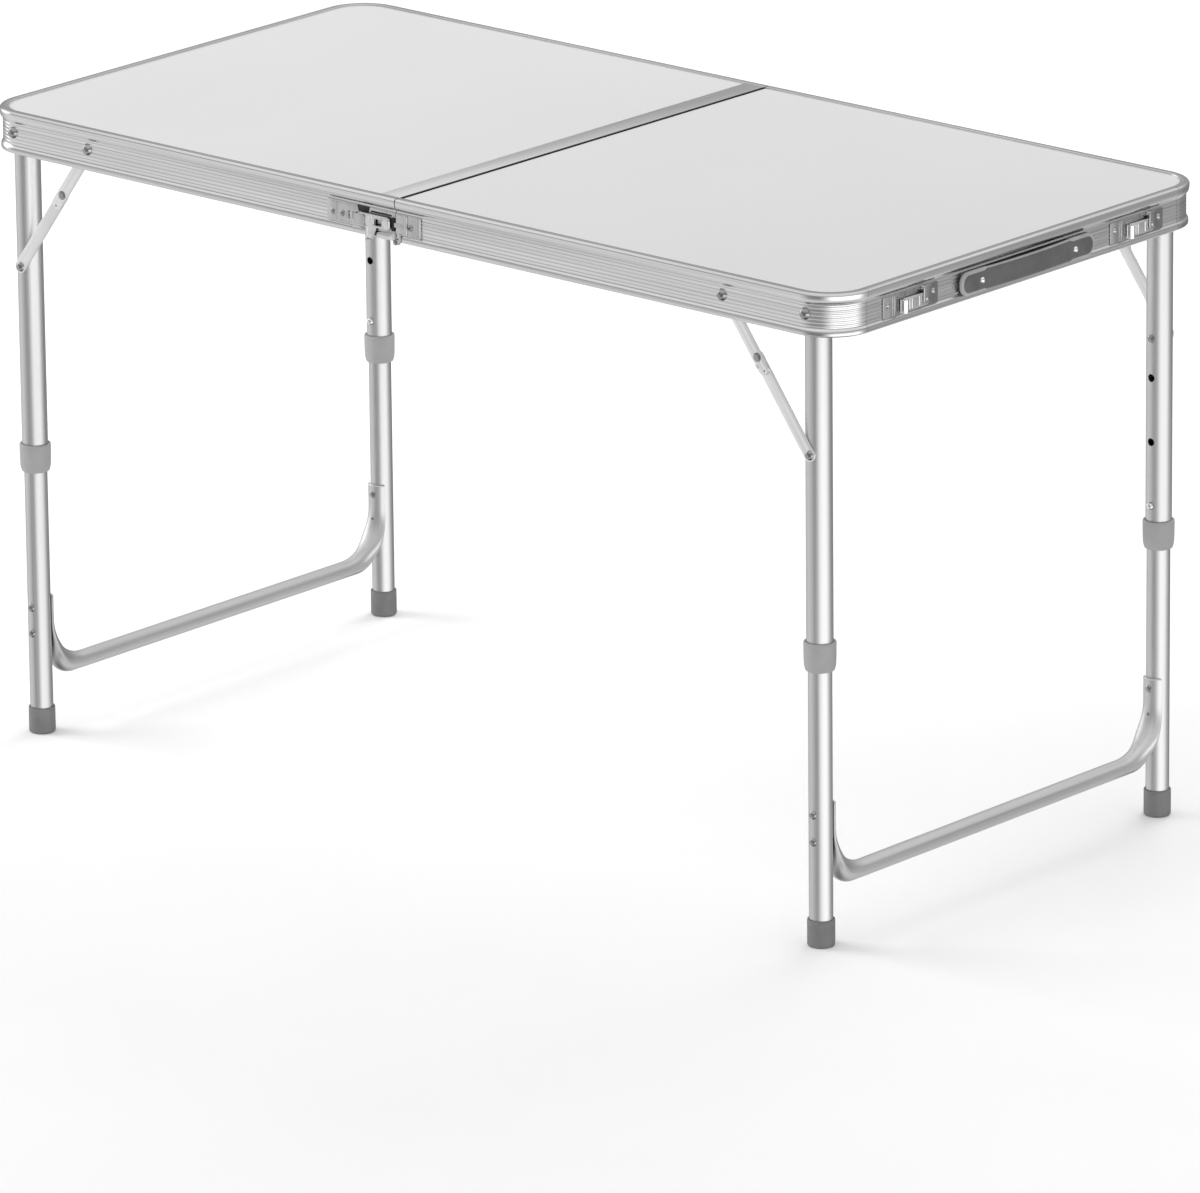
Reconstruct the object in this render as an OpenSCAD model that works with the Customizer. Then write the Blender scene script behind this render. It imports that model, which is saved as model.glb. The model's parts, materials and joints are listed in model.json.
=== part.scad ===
// Folding table: two hinged top halves in a ribbed rim, folding leg frames with telescopic feet,
// jointed braces, centre locks on both long sides, end latches and a carrying handle.
// X runs along the length, Y across the width, Z up from the floor. The origin is on the floor
// under the middle of the centre seam. The open, fully raised table is the rest position.

/* [Table top] */
// Length of the open top along X
top_length = 1200; // [1180:10:1220]
// Width of the top along Y
top_width = 600; // [590:10:610]
// Height of the top surface above the floor
top_height = 700; // [690:5:710]
// Height of the rim all round the top
rim_height = 46; // [45:0.5:48]
// Outer radius of the four corners, seen from above
corner_radius = 50; // [46:1:54]
// Width of the rim's lip over the panel edge
lip_width = 10; // [8:0.5:12]
// Thickness of each panel
panel_thickness = 3.7; // [3.2:0.1:4.2]
// Gap between the two halves at the seam
seam_gap = 1.2; // [0.8:0.1:2]
// Width of the metal strip along the seam, on the left half
seam_strip_width = 27; // [20:1:32]

/* [Legs] */
// Distance from each end of the top to the leg axes
leg_inset_x = 45; // [42:1:50]
// Distance from each side of the top to the leg axes
leg_inset_y = 25; // [25:0.5:27]
// Outer diameter of the upper tubes
upper_diameter = 28; // [26:0.5:28]
// Outer diameter of the lower, sliding tubes
lower_diameter = 25; // [22:0.5:25]
// Wall thickness of all tubes
tube_wall = 1.2; // [1:0.1:1.4]
// Height of the leg pivots below the top surface
pivot_depth = 23; // [22.5:0.5:24]
// Height of the lower end of the collars above the floor
collar_low = 296; // [296:1:310]
// Full travel of the telescopic feet
slide_travel = 140; // [120:5:140]
// Travel from the top height to the middle height
first_step = 70; // [60:5:80]

/* [Crossbars] */
// Outer diameter of the crossbar tubes
crossbar_diameter = 19; // [16:0.5:20]
// Height of the crossbar's level part above the floor
crossbar_height = 67; // [60:1:75]
// Bend radius at the crossbar's centre line
crossbar_bend = 40; // [30:1:50]
// Height of the crossbar's upper ends above the floor
crossbar_top = 154; // [140:1:154]

/* [Braces] */
// Distance from the leg pivot to the brace's pivot on the rail
brace_rail_reach = 110; // [105:1:115]
// Distance from the leg pivot to the brace's pivot on the leg
brace_leg_reach = 150; // [145:1:155]
// Width of the brace links
brace_width = 14.5; // [12:0.5:15]
// Thickness of the brace links
brace_thickness = 1.5; // [1.2:0.1:1.5]

/* [End fittings] */
// Distance of each latch's centre from the middle of the end rail
latch_offset = 182; // [170:1:190]
// Length of a latch's base plate
latch_plate_length = 86; // [80:1:90]
// Length of the carrying handle
handle_length = 214; // [204:1:220]
// Height of the carrying handle's strap
handle_width = 25; // [22:0.5:26]

/* [Hidden] */
$fn = 64;
half_length = top_length / 2;
half_width = top_width / 2;
rim_bottom = top_height - rim_height;

// Rim profile, as distances inward from the rim's outermost face and heights
bead_height = 14;
foot_bead_height = 7.5;
web_outer = half_width - 3.5;
rib_outer = half_width - 3;
web_inner = half_width - 6;
lip_thickness = 1.5;
panel_top = top_height - lip_thickness;
panel_bottom = panel_top - panel_thickness;
shelf_thickness = 2;
rib_count = 6;
rib_width = 1.6;
rib_pitch = 3.6;
rib_low = rim_bottom + foot_bead_height + 1.6;
corner_x = half_length - corner_radius;
corner_y = half_width - corner_radius;
seam_x = seam_gap / 2;
hinge_notch = 6.2;
hinge_notch_width = 13;

// Legs
leg_x = half_length - leg_inset_x;
leg_y = half_width - leg_inset_y;
pivot_z = top_height - pivot_depth;
upper_r = upper_diameter / 2;
lower_r = lower_diameter / 2;
upper_end = collar_low + 4;
collar_height = 31;
collar_r = upper_r + 3;
leg_head = 8;
button_z = collar_low + 48;
button_r = 4;
foot_r = lower_r + 2;
foot_height = 29;
foot_floor = 4;
running = 0.05;
loose = 0.3;
pin_r = 3;
small_pin_r = 2.5;
rail_rivet_r = 6;
rail_rivet_height = 2.8;

// Distances from the middle plane of the layers between leg and rail
lower_link_in = leg_y + upper_r + loose;
lower_link_out = lower_link_in + brace_thickness;
upper_link_in = lower_link_out + 0.2;
upper_link_out = upper_link_in + brace_thickness;
head_limit = web_inner - loose;

// Brace: straight when the leg stands, folded back on itself when the leg is stowed
brace_angle = atan2(brace_leg_reach, brace_rail_reach);
brace_span = norm([brace_rail_reach, brace_leg_reach]);
brace_folded_span = brace_leg_reach - brace_rail_reach;
lower_link_length = (brace_span + brace_folded_span) / 2;
upper_link_length = (brace_span - brace_folded_span) / 2;
link_end_r = brace_width / 2;
upper_link_tail = 20;

// Crossbar
crossbar_r = crossbar_diameter / 2;
crossbar_end_y = leg_y - lower_r - 6;
crossbar_rivets_z = [crossbar_top - 11, crossbar_top - 40];

// Centre locks: the layers, out from the ribs
plate_thickness = 1.4;
lock_plate_out = rib_outer + plate_thickness;
lock_left_length = 97;
lock_right_length = 35;
left_plate_holes = [-lock_left_length + 9, -lock_left_length + 22];
left_plate_slots = [-67, -60.5];
slot_width = 3;
slot_height = 8;
right_plate_hole = 20.5;
lock_plate_low = rim_bottom + foot_bead_height + 0.6;
lock_plate_high = top_height - bead_height - 0.6;
lug_r = 5.5;
right_lug_in = lock_plate_out + 0.2;
right_lug_out = right_lug_in + 1.2;
lever_in = half_width + loose;
lever_out = lever_in + 1.8;
lever_pivot_x = -47;
lever_z = rim_bottom + 18.5;
lever_eye_x = -20;
lever_eye = 16;
lever_tab_x = -39;
lever_tab_width = 13;
tongue_end = -22;
tongue_root = 12;
tongue_height = 5;
joggle_width = 4;
catch_r = 1.8;

// End latches and their catches
latch_pivot = 21;
latch_z = rim_bottom + 18;
latch_arm_in = half_length - 1 + 0.4;
latch_arm_out = latch_arm_in + 2;
latch_arm_length = 42;
latch_notch = 30;
latch_plate_out = half_length - 3 + plate_thickness;
end_rib = half_length - 3;

// ---- placing ----

module on_left() {
    mirror([1, 0, 0]) children();
}

module on_back() {
    mirror([0, 1, 0]) children();
}

module front_and_back() {
    children();
    mirror([0, 1, 0]) children();
}

// A round bar along Y on the front side, from one distance off the middle plane to another
module y_bar(x, z, from, to, r) {
    translate([x, -from, z]) rotate([90, 0, 0]) cylinder(h = to - from, r = r);
}

// A flat outline drawn in X and Z, as a plate between two distances off the middle plane
module y_plate(from, to) {
    translate([0, -from, 0]) rotate([90, 0, 0]) linear_extrude(to - from) children();
}

// A low dome on a flat base at z = 0
module dome(r, h) {
    bow = (r * r + h * h) / (2 * h);
    rotate_extrude($fn = 128) intersection() {
        translate([0, h - bow]) circle(bow, $fn = 256);
        square([r + 1, h]);
    }
}

module y_dome(x, z, base, r, h) {
    translate([x, -base, z]) rotate([90, 0, 0]) dome(r, h);
}

// ---- top ----

// Outline of one rib on the rim's web, from its upper edge down
function rib_points(low) = [
    [web_outer, low + rib_width],
    [rib_outer, low + rib_width],
    [rib_outer, low],
    [web_outer, low]
];

// Section of the rim: distance off the middle plane to the right, height up
module rail_section() {
    bead = [
        [half_width - lip_width, panel_top],
        [half_width - lip_width, top_height],
        [half_width - 2, top_height],
        [half_width, top_height - 2],
        [half_width, top_height - bead_height + 2],
        [web_outer, top_height - bead_height]
    ];
    ribs = [for (i = [rib_count - 1 : -1 : 0], p = rib_points(rib_low + i * rib_pitch)) p];
    foot_and_inside = [
        [web_outer, rim_bottom + foot_bead_height],
        [half_width - 1, rim_bottom + foot_bead_height - 2],
        [half_width - 1, rim_bottom + 1.5],
        [half_width - 2.5, rim_bottom],
        [web_inner, rim_bottom],
        [web_inner, panel_bottom - shelf_thickness],
        [half_width - lip_width, panel_bottom - shelf_thickness],
        [half_width - lip_width, panel_bottom],
        [web_inner, panel_bottom],
        [web_inner, panel_top]
    ];
    polygon(concat(bead, ribs, foot_and_inside));
}

// Back rail of the right half: straight from the seam, then round the corner
module long_rail() {
    difference() {
        union() {
            translate([seam_x, 0, 0]) rotate([90, 0, 90])
                linear_extrude(corner_x - seam_x) rail_section();
            translate([corner_x, corner_y, 0]) rotate_extrude(angle = 90)
                translate([-corner_y, 0]) rail_section();
        }
        mirror([0, 1, 0]) {
            y_bar(0, rim_bottom, web_inner - 1, half_width + 1, hinge_notch);
            translate([0, -half_width - 1, rim_bottom - 1])
                cube([hinge_notch_width, half_width + 1 - rib_outer, foot_bead_height + 1.6]);
            y_bar(leg_x, pivot_z, web_inner - 1, half_width + 1, pin_r + running);
            y_bar(leg_x - brace_rail_reach, pivot_z, web_inner - 1, half_width + 1, pin_r + running);
        }
    }
}

module rail_back_right() {
    color("silver") long_rail();
}

module rail_front_right() {
    color("silver") on_back() long_rail();
}

module rail_back_left() {
    color("silver") on_left() long_rail();
}

module rail_front_left() {
    color("silver") on_left() on_back() long_rail();
}

module rail_end_right() {
    color("silver") translate([half_length - half_width, corner_y, 0])
        rotate([90, 0, 0]) linear_extrude(2 * corner_y) rail_section();
}

module rail_end_left() {
    color("silver") on_left() translate([half_length - half_width, corner_y, 0])
        rotate([90, 0, 0]) linear_extrude(2 * corner_y) rail_section();
}

// Panel of the right half, from a distance off the seam to the rim's web
module panel(from_x) {
    edge = half_length - 6;
    r = corner_radius - 6;
    translate([0, 0, panel_bottom]) linear_extrude(panel_thickness) {
        translate([from_x, -web_inner]) square([edge - r - from_x, 2 * web_inner]);
        translate([edge - r - 1, r - web_inner]) square([r + 1, 2 * (web_inner - r)]);
        for (side = [-1, 1])
            translate([edge - r, side * (web_inner - r)]) circle(r);
    }
}

module panel_right() {
    color("whitesmoke") panel(seam_x + 0.6);
}

module panel_left() {
    color("whitesmoke") on_left() panel(seam_x + lip_thickness);
}

// Flat strip over the left panel's edge, turned down at the seam
module seam_strip_left() {
    strip_half = half_width - lip_width;
    color("gainsboro") {
        translate([-seam_strip_width - seam_x, -strip_half, panel_top])
            cube([seam_strip_width, 2 * strip_half, lip_thickness]);
        translate([-seam_x - lip_thickness, -strip_half, panel_bottom - 1])
            cube([lip_thickness, 2 * strip_half, panel_thickness + 1 + lip_thickness]);
    }
}

// Angle under the right panel's edge
module seam_strip_right() {
    strip_half = half_width - lip_width;
    color("gainsboro") {
        translate([seam_x, -strip_half, panel_bottom - 1.2])
            cube([12, 2 * strip_half, 1.2]);
        translate([seam_x, -strip_half, panel_bottom - 1.2])
            cube([0.6, 2 * strip_half, panel_thickness + 1.2]);
    }
}

// Rivet on which an upper leg turns, with a shoulder between rail and leg. The rail is already
// bending there, so the shoulder ends where its far edge meets the bend.
module leg_pivot_rivet() {
    shoulder_r = 6;
    washer_r = 5;
    bend_in = web_inner - corner_y;
    shoulder_end = corner_y + sqrt(pow(bend_in, 2) - pow(leg_x + shoulder_r - corner_x, 2)) - 0.05;
    y_dome(leg_x, pivot_z, rib_outer, rail_rivet_r, rail_rivet_height);
    y_bar(leg_x, pivot_z, leg_y - upper_r - 2, rib_outer, pin_r);
    y_bar(leg_x, pivot_z, leg_y + upper_r + 0.4, shoulder_end, shoulder_r);
    y_bar(leg_x, pivot_z, leg_y - upper_r - 2.2, leg_y - upper_r - 0.4, washer_r);
}

module leg_pivot_rivets_right() {
    color("gray") front_and_back() leg_pivot_rivet();
}

module leg_pivot_rivets_left() {
    color("gray") on_left() front_and_back() leg_pivot_rivet();
}

// Rivet on which an upper brace link turns, flush with the link's inner face
module brace_rail_rivet() {
    y_dome(leg_x - brace_rail_reach, pivot_z, rib_outer, rail_rivet_r, rail_rivet_height);
    y_bar(leg_x - brace_rail_reach, pivot_z, upper_link_in, rib_outer, pin_r);
}

module brace_rail_rivets_right() {
    color("gray") front_and_back() brace_rail_rivet();
}

module brace_rail_rivets_left() {
    color("gray") on_left() front_and_back() brace_rail_rivet();
}

// ---- centre hinge and locks ----

// Front plate of the left half, with the fixed hinge lug
module lock_plate_left() {
    difference() {
        union() {
            y_plate(rib_outer, lock_plate_out) {
                translate([-lock_left_length, lock_plate_low])
                    square([lock_left_length - seam_x, lock_plate_high - lock_plate_low]);
                translate([-lug_r, rim_bottom]) square([lug_r, 10]);
                translate([0, rim_bottom]) circle(lug_r);
            }
            y_bar(lever_pivot_x, lever_z, lock_plate_out, lever_in, 4.5);
        }
        y_bar(0, rim_bottom, rib_outer - 1, lock_plate_out + 1, 2 + running);
        y_bar(lever_pivot_x, lever_z, rib_outer - 1, lever_in + 1, 2 + running);
        for (x = left_plate_holes)
            y_bar(x, lever_z, rib_outer - 1, lock_plate_out + 1, 2 + running);
        y_plate(rib_outer - 1, lock_plate_out + 1) {
            for (x = left_plate_slots)
                translate([x, lever_z - slot_height / 2]) square([slot_width, slot_height]);
        }
    }
}

// Front plate of the right half, with the joggled lug that turns on the hinge pin and the tongue
// that lies behind the lever's eye
module lock_plate_right() {
    difference() {
        union() {
            y_plate(rib_outer, lock_plate_out)
                translate([seam_x, lock_plate_low])
                    square([lock_right_length - seam_x, lock_plate_high - lock_plate_low]);
            y_plate(rib_outer, right_lug_out)
                translate([6.5, rim_bottom - 2]) square([4.5, 14]);
            y_plate(rib_outer, right_lug_out)
                translate([tongue_root, lever_z - 8]) square([joggle_width, 16]);
            y_plate(right_lug_in, right_lug_out) {
                translate([tongue_end, lever_z - tongue_height / 2])
                    square([tongue_root + joggle_width - tongue_end, tongue_height]);
                translate([0, rim_bottom - 3]) square([9, 8.2]);
                translate([0, rim_bottom]) circle(lug_r);
            }
            y_bar(lever_eye_x, lever_z, right_lug_in, right_lug_out + 0.3, catch_r);
        }
        y_bar(0, rim_bottom, right_lug_in - 1, right_lug_out + 1, 2 + running);
        y_bar(right_plate_hole, lever_z, rib_outer - 1, lock_plate_out + 1, 2 + running);
    }
}

module lock_plate_front_left() {
    color("darkgray") lock_plate_left();
}

module lock_plate_back_left() {
    color("darkgray") on_back() lock_plate_left();
}

module lock_plate_front_right() {
    color("darkgray") lock_plate_right();
}

module lock_plate_back_right() {
    color("darkgray") on_back() lock_plate_right();
}

// Rivet that holds a lock plate to the rail
module lock_plate_rivet(x) {
    y_bar(x, lever_z, rib_outer, lock_plate_out, 2);
    y_dome(x, lever_z, lock_plate_out, 3.2, 1.3);
}

module lock_plate_rivets_left() {
    color("gray") front_and_back()
        for (x = left_plate_holes)
            lock_plate_rivet(x);
}

module lock_plate_rivets_right() {
    color("gray") front_and_back() lock_plate_rivet(right_plate_hole);
}

module hinge_pins() {
    color("gray") front_and_back() {
        y_bar(0, rim_bottom, web_inner + 0.5, right_lug_out + 0.3, 2);
        y_bar(0, rim_bottom, web_inner + 0.5, rib_outer - 0.3, 3.6);
        y_dome(0, rim_bottom, right_lug_out + 0.3, 3.6, 1.2);
        y_bar(lever_pivot_x, lever_z, rib_outer, lever_out + 0.3, 2);
        y_dome(lever_pivot_x, lever_z, lever_out + 0.3, 3.6, 1.4);
    }
}

// Sprung lever: a straight arm with a square-eyed hook end and a finger tab below the rim
module lock_lever() {
    difference() {
        union() {
            y_plate(lever_in, lever_out) {
                translate([lever_pivot_x, lever_z]) circle(6.5);
                translate([lever_pivot_x, lever_z - 5])
                    square([lever_eye_x - lever_pivot_x, 11]);
                translate([lever_tab_x, rim_bottom - 3]) square([lever_tab_width, 18]);
            }
            y_plate(lever_in, lever_out + 2)
                translate([lever_eye_x - lever_eye / 2, lever_z - lever_eye / 2 + 1.5])
                    square([lever_eye + 4, lever_eye - 3]);
            y_plate(lever_in, lever_out + 2.4)
                translate([lever_tab_x, rim_bottom - 4]) square([lever_tab_width, 2.5]);
        }
        y_bar(lever_pivot_x, lever_z, lever_in - 1, lever_out + 1, 2 + running);
        y_plate(lever_in - 1, lever_out + 3)
            translate([lever_eye_x - 3.5, lever_z - 3.5]) square([7, 7]);
    }
}

module lock_lever_front() {
    color("lightgray") lock_lever();
}

module lock_lever_back() {
    color("lightgray") on_back() lock_lever();
}

// ---- legs ----

// Front right upper tube, with bores for the pivot, the brace and the height button
module upper_leg() {
    difference() {
        translate([leg_x, -leg_y, upper_end])
            cylinder(h = pivot_z + leg_head - upper_end, r = upper_r);
        translate([leg_x, -leg_y, upper_end - 1])
            cylinder(h = pivot_z + leg_head - upper_end + 2, r = upper_r - tube_wall);
        y_bar(leg_x, pivot_z, leg_y - upper_r - 1, leg_y + upper_r + 1, pin_r + running);
        y_bar(leg_x, pivot_z - brace_leg_reach, leg_y - upper_r - 1, leg_y + upper_r + 1,
            pin_r + running);
        for (step = [0, first_step, slide_travel])
            y_bar(leg_x, button_z + step, leg_y - upper_r - 1, leg_y, button_r + 0.25);
    }
}

module upper_leg_front_right() {
    color("gainsboro") upper_leg();
}

module upper_leg_back_right() {
    color("gainsboro") on_back() upper_leg();
}

module upper_leg_front_left() {
    color("gainsboro") on_left() upper_leg();
}

module upper_leg_back_left() {
    color("gainsboro") on_left() on_back() upper_leg();
}

// Plastic collar round the upper tube's end, with a lip that guides the lower tube
module collar() {
    translate([leg_x, -leg_y, collar_low]) rotate_extrude() polygon([
        [lower_r + 0.06, 0],
        [upper_r + 0.6, 0],
        [upper_r + 1, 1],
        [collar_r, 9],
        [collar_r, collar_height - 1],
        [collar_r - 1, collar_height],
        [upper_r, collar_height],
        [upper_r, upper_end - collar_low],
        [lower_r + 0.06, upper_end - collar_low]
    ]);
}

module collars_right() {
    color("slategray") front_and_back() collar();
}

module collars_left() {
    color("slategray") on_left() front_and_back() collar();
}

// Rivet through an upper leg on which a lower brace link turns
module brace_leg_rivet() {
    z = pivot_z - brace_leg_reach;
    y_bar(leg_x, z, leg_y - upper_r - 1, lower_link_out, pin_r);
    y_dome(leg_x, z, lower_link_out + 0.1, 5.4, head_limit - lower_link_out - 0.1);
    y_bar(leg_x, z, lower_link_out, lower_link_out + 0.1, pin_r);
    translate([leg_x, -leg_y + upper_r + 0.1, z]) rotate([-90, 0, 0]) dome(4.5, 1.8);
}

module brace_leg_rivets_right() {
    color("gray") front_and_back() brace_leg_rivet();
}

module brace_leg_rivets_left() {
    color("gray") on_left() front_and_back() brace_leg_rivet();
}

// Front right lower tube, with bores for the crossbar rivets and the height button
module lower_leg() {
    top = button_z + 26;
    difference() {
        translate([leg_x, -leg_y, foot_floor])
            cylinder(h = top - foot_floor, r = lower_r);
        translate([leg_x, -leg_y, foot_floor - 1])
            cylinder(h = top - foot_floor + 2, r = lower_r - tube_wall);
        for (z = crossbar_rivets_z)
            y_bar(leg_x, z, leg_y - lower_r - 1, leg_y + lower_r + 1, small_pin_r + running);
        y_bar(leg_x, button_z, leg_y - lower_r - 1, leg_y, button_r + 0.5);
    }
}

module lower_leg_front_right() {
    color("gainsboro") lower_leg();
}

module lower_leg_back_right() {
    color("gainsboro") on_back() lower_leg();
}

module lower_leg_front_left() {
    color("gainsboro") on_left() lower_leg();
}

module lower_leg_back_left() {
    color("gainsboro") on_left() on_back() lower_leg();
}

// Plastic cap on the foot of a lower tube
module foot_cap() {
    translate([leg_x, -leg_y, 0]) rotate_extrude() polygon([
        [0, 0],
        [foot_r - 1.2, 0],
        [foot_r, 1.2],
        [foot_r, foot_height - 0.8],
        [foot_r - 0.8, foot_height],
        [lower_r, foot_height],
        [lower_r, foot_floor],
        [0, foot_floor]
    ]);
}

module feet_right() {
    color("dimgray") front_and_back() foot_cap();
}

module feet_left() {
    color("dimgray") on_left() front_and_back() foot_cap();
}

module ring(r) {
    difference() {
        circle(r);
        circle(r - tube_wall);
    }
}

// Half of the crossbar: level tube, bend and upright, cupped round the lower leg
module crossbar_half() {
    bend_y = crossbar_end_y - crossbar_bend;
    bend_z = crossbar_height + crossbar_bend;
    difference() {
        union() {
            translate([leg_x, 0, crossbar_height]) rotate([90, 0, 0])
                linear_extrude(bend_y) ring(crossbar_r);
            translate([leg_x, -bend_y, bend_z]) rotate([0, 90, 0])
                rotate([0, 0, -90]) rotate_extrude(angle = 90)
                    translate([crossbar_bend, 0]) ring(crossbar_r);
            translate([leg_x, -crossbar_end_y, bend_z])
                linear_extrude(crossbar_top - bend_z) ring(crossbar_r);
        }
        translate([leg_x, -leg_y, 0]) cylinder(h = crossbar_top + 10, r = lower_r + running);
        for (z = crossbar_rivets_z)
            y_bar(leg_x, z, crossbar_end_y - crossbar_r - 1, leg_y, small_pin_r + running);
    }
}

module crossbar_right() {
    color("gainsboro") front_and_back() crossbar_half();
}

module crossbar_left() {
    color("gainsboro") on_left() front_and_back() crossbar_half();
}

// Rivets through a lower leg and the crossbar's upright
module crossbar_rivet_pair() {
    for (z = crossbar_rivets_z) {
        y_bar(leg_x, z, crossbar_end_y - crossbar_r - 0.3, leg_y + lower_r + 0.1, small_pin_r);
        y_dome(leg_x, z, leg_y + lower_r + 0.1, 4.6, 2.4);
        translate([leg_x, 0.1 - crossbar_end_y + crossbar_r, z]) rotate([-90, 0, 0]) dome(4, 1.5);
    }
}

module crossbar_rivets_right() {
    color("gray") front_and_back() crossbar_rivet_pair();
}

module crossbar_rivets_left() {
    color("gray") on_left() front_and_back() crossbar_rivet_pair();
}

// Bent leaf spring inside a lower tube, behind the button
module button_spring() {
    strip = 8;
    leaf = 0.6;
    outer = 4;
    low = button_z - 34;
    translate([leg_x - strip / 2, -leg_y, low]) rotate([90, 0, 90]) linear_extrude(strip) {
        translate([outer - leaf, 0]) square([leaf, 40]);
        translate([-outer, 0]) square([leaf, 30]);
        intersection() {
            difference() {
                circle(outer);
                circle(outer - leaf);
            }
            translate([-outer, -outer]) square([2 * outer, outer]);
        }
    }
}

module button_springs_right() {
    color("gray") front_and_back() button_spring();
}

module button_springs_left() {
    color("gray") on_left() front_and_back() button_spring();
}

// Height button standing out of the upper tube, towards the other leg of the pair
module snap_button() {
    base = upper_r - tube_wall + 0.1;
    translate([leg_x, -leg_y + base, button_z]) rotate([-90, 0, 0]) {
        cylinder(h = 3, r = button_r);
        translate([0, 0, 3]) dome(button_r, 2);
    }
}

module snap_button_front_right() {
    color("lightgray") snap_button();
}

module snap_button_back_right() {
    color("lightgray") on_back() snap_button();
}

module snap_button_front_left() {
    color("lightgray") on_left() snap_button();
}

module snap_button_back_left() {
    color("lightgray") on_left() on_back() snap_button();
}

// ---- braces ----

// Flat link from its first pivot at the origin, running down to the right or up to the left
module link_outline(length, tail) {
    circle(link_end_r);
    translate([0, -link_end_r]) square([length + tail, brace_width]);
    translate([length + tail, 0]) circle(link_end_r);
}

module at_rail_pivot() {
    translate([leg_x - brace_rail_reach, pivot_z]) rotate([0, 0, -brace_angle]) children();
}

module at_leg_pivot() {
    translate([leg_x, pivot_z - brace_leg_reach]) rotate([0, 0, 180 - brace_angle]) children();
}

module brace_upper() {
    y_plate(upper_link_in, upper_link_out) difference() {
        at_rail_pivot() link_outline(upper_link_length, upper_link_tail - link_end_r);
        at_rail_pivot() circle(pin_r + running);
    }
}

module brace_lower() {
    y_plate(lower_link_in, lower_link_out) difference() {
        at_leg_pivot() link_outline(lower_link_length, 0);
        at_leg_pivot() circle(pin_r + running);
    }
}

// Flat-headed rivet at the elbow, on the upper link
module brace_elbow_rivet() {
    head_r = 4.6;
    bevel = 0.6;
    head = head_limit - upper_link_out;
    x = leg_x - brace_rail_reach + upper_link_length * cos(brace_angle);
    z = pivot_z - upper_link_length * sin(brace_angle);
    translate([x, -upper_link_out, z]) rotate([90, 0, 0]) {
        cylinder(h = head - bevel, r = head_r);
        translate([0, 0, head - bevel]) cylinder(h = bevel, r1 = head_r, r2 = head_r - bevel);
    }
}

module brace_uppers_right() {
    color("lightgray") front_and_back() brace_upper();
}

module brace_uppers_left() {
    color("lightgray") on_left() front_and_back() brace_upper();
}

module brace_lowers_right() {
    color("gainsboro") front_and_back() brace_lower();
}

module brace_lowers_left() {
    color("gainsboro") on_left() front_and_back() brace_lower();
}

module brace_elbow_rivets_right() {
    color("gray") front_and_back() brace_elbow_rivet();
}

module brace_elbow_rivets_left() {
    color("gray") on_left() front_and_back() brace_elbow_rivet();
}

// ---- end fittings ----

// Round bar along X on the right end
module x_bar(y, z, from, to, r) {
    translate([from, y, z]) rotate([0, 90, 0]) cylinder(h = to - from, r = r);
}

// Flat outline drawn in Y and Z, as a plate between two distances along X
module x_plate(from, to) {
    translate([from, 0, 0]) rotate([90, 0, 90]) linear_extrude(to - from) children();
}

// Base plate with the swivel pin and a rivet at its far end
module latch_base(y) {
    x_plate(end_rib, latch_plate_out)
        translate([y - latch_plate_length / 2, lock_plate_low])
            square([latch_plate_length, lock_plate_high - lock_plate_low]);
    x_bar(y + latch_pivot, latch_z, latch_plate_out, latch_arm_in - 0.1, 3.5);
    x_bar(y + latch_pivot, latch_z, latch_plate_out, latch_arm_out + 0.2, 2.5);
    translate([latch_arm_out + 0.2, y + latch_pivot, latch_z]) rotate([0, 90, 0]) dome(4.2, 1.5);
    translate([latch_plate_out, y + latch_pivot + 14, latch_z + 4]) rotate([0, 90, 0])
        dome(3, 1.6);
    translate([latch_plate_out, y - latch_plate_length / 2 + 7, latch_z + 4]) rotate([0, 90, 0])
        dome(3, 1.6);
}

module latch_bases() {
    color("darkgray") for (side = [-1, 1])
        latch_base(side * latch_offset);
}

// Swivelling arm with a notch that drops over the other half's stud
module latch_arm(y) {
    translate([0, y + latch_pivot, latch_z]) difference() {
        union() {
            x_plate(latch_arm_in, latch_arm_out) {
                circle(6.5);
                translate([-latch_arm_length + 6, -6.5]) square([latch_arm_length - 6, 13]);
                translate([-latch_arm_length + 6, 0]) circle(6.5);
            }
            x_plate(latch_arm_in, latch_arm_out + 1.6)
                translate([-latch_arm_length + 3, -6.5]) square([3, 13]);
        }
        x_bar(0, 0, latch_arm_in - 1, latch_arm_out + 1, 2.5 + running);
        x_plate(latch_arm_in - 1, latch_arm_out + 3)
            translate([-latch_notch - 2.8, -7.5]) square([5.6, 9.5]);
    }
}

module latch_arm_front() {
    color("lightgray") latch_arm(-latch_offset);
}

module latch_arm_back() {
    color("lightgray") latch_arm(latch_offset);
}

// Small plates with headed studs on the left end, one for each latch arm
module latch_catch(y) {
    z = 2 * rim_bottom - latch_z + latch_notch;
    x_plate(end_rib, latch_plate_out)
        translate([y + latch_pivot - 17, lock_plate_low])
            square([34, lock_plate_high - lock_plate_low]);
    x_bar(y + latch_pivot, z, latch_plate_out, latch_arm_out + 0.4, 2.3);
    x_bar(y + latch_pivot, z, latch_arm_out + 0.4, latch_arm_out + 1.6, 4);
    for (side = [-1, 1])
        translate([latch_plate_out, y + latch_pivot + side * 12, z]) rotate([0, 90, 0])
            dome(2.6, 1.2);
}

module latch_catches() {
    color("darkgray") on_left() for (side = [-1, 1])
        latch_catch(side * latch_offset);
}

// Carrying handle: two end caps, a bowed strap between them and two screws
handle_z = rim_bottom + 18.5;
cap_length = 38;
cap_depth = 7;
strap_thickness = 3.2;
strap_bow = 4;
screw_y = handle_length / 2 - 32;

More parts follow.
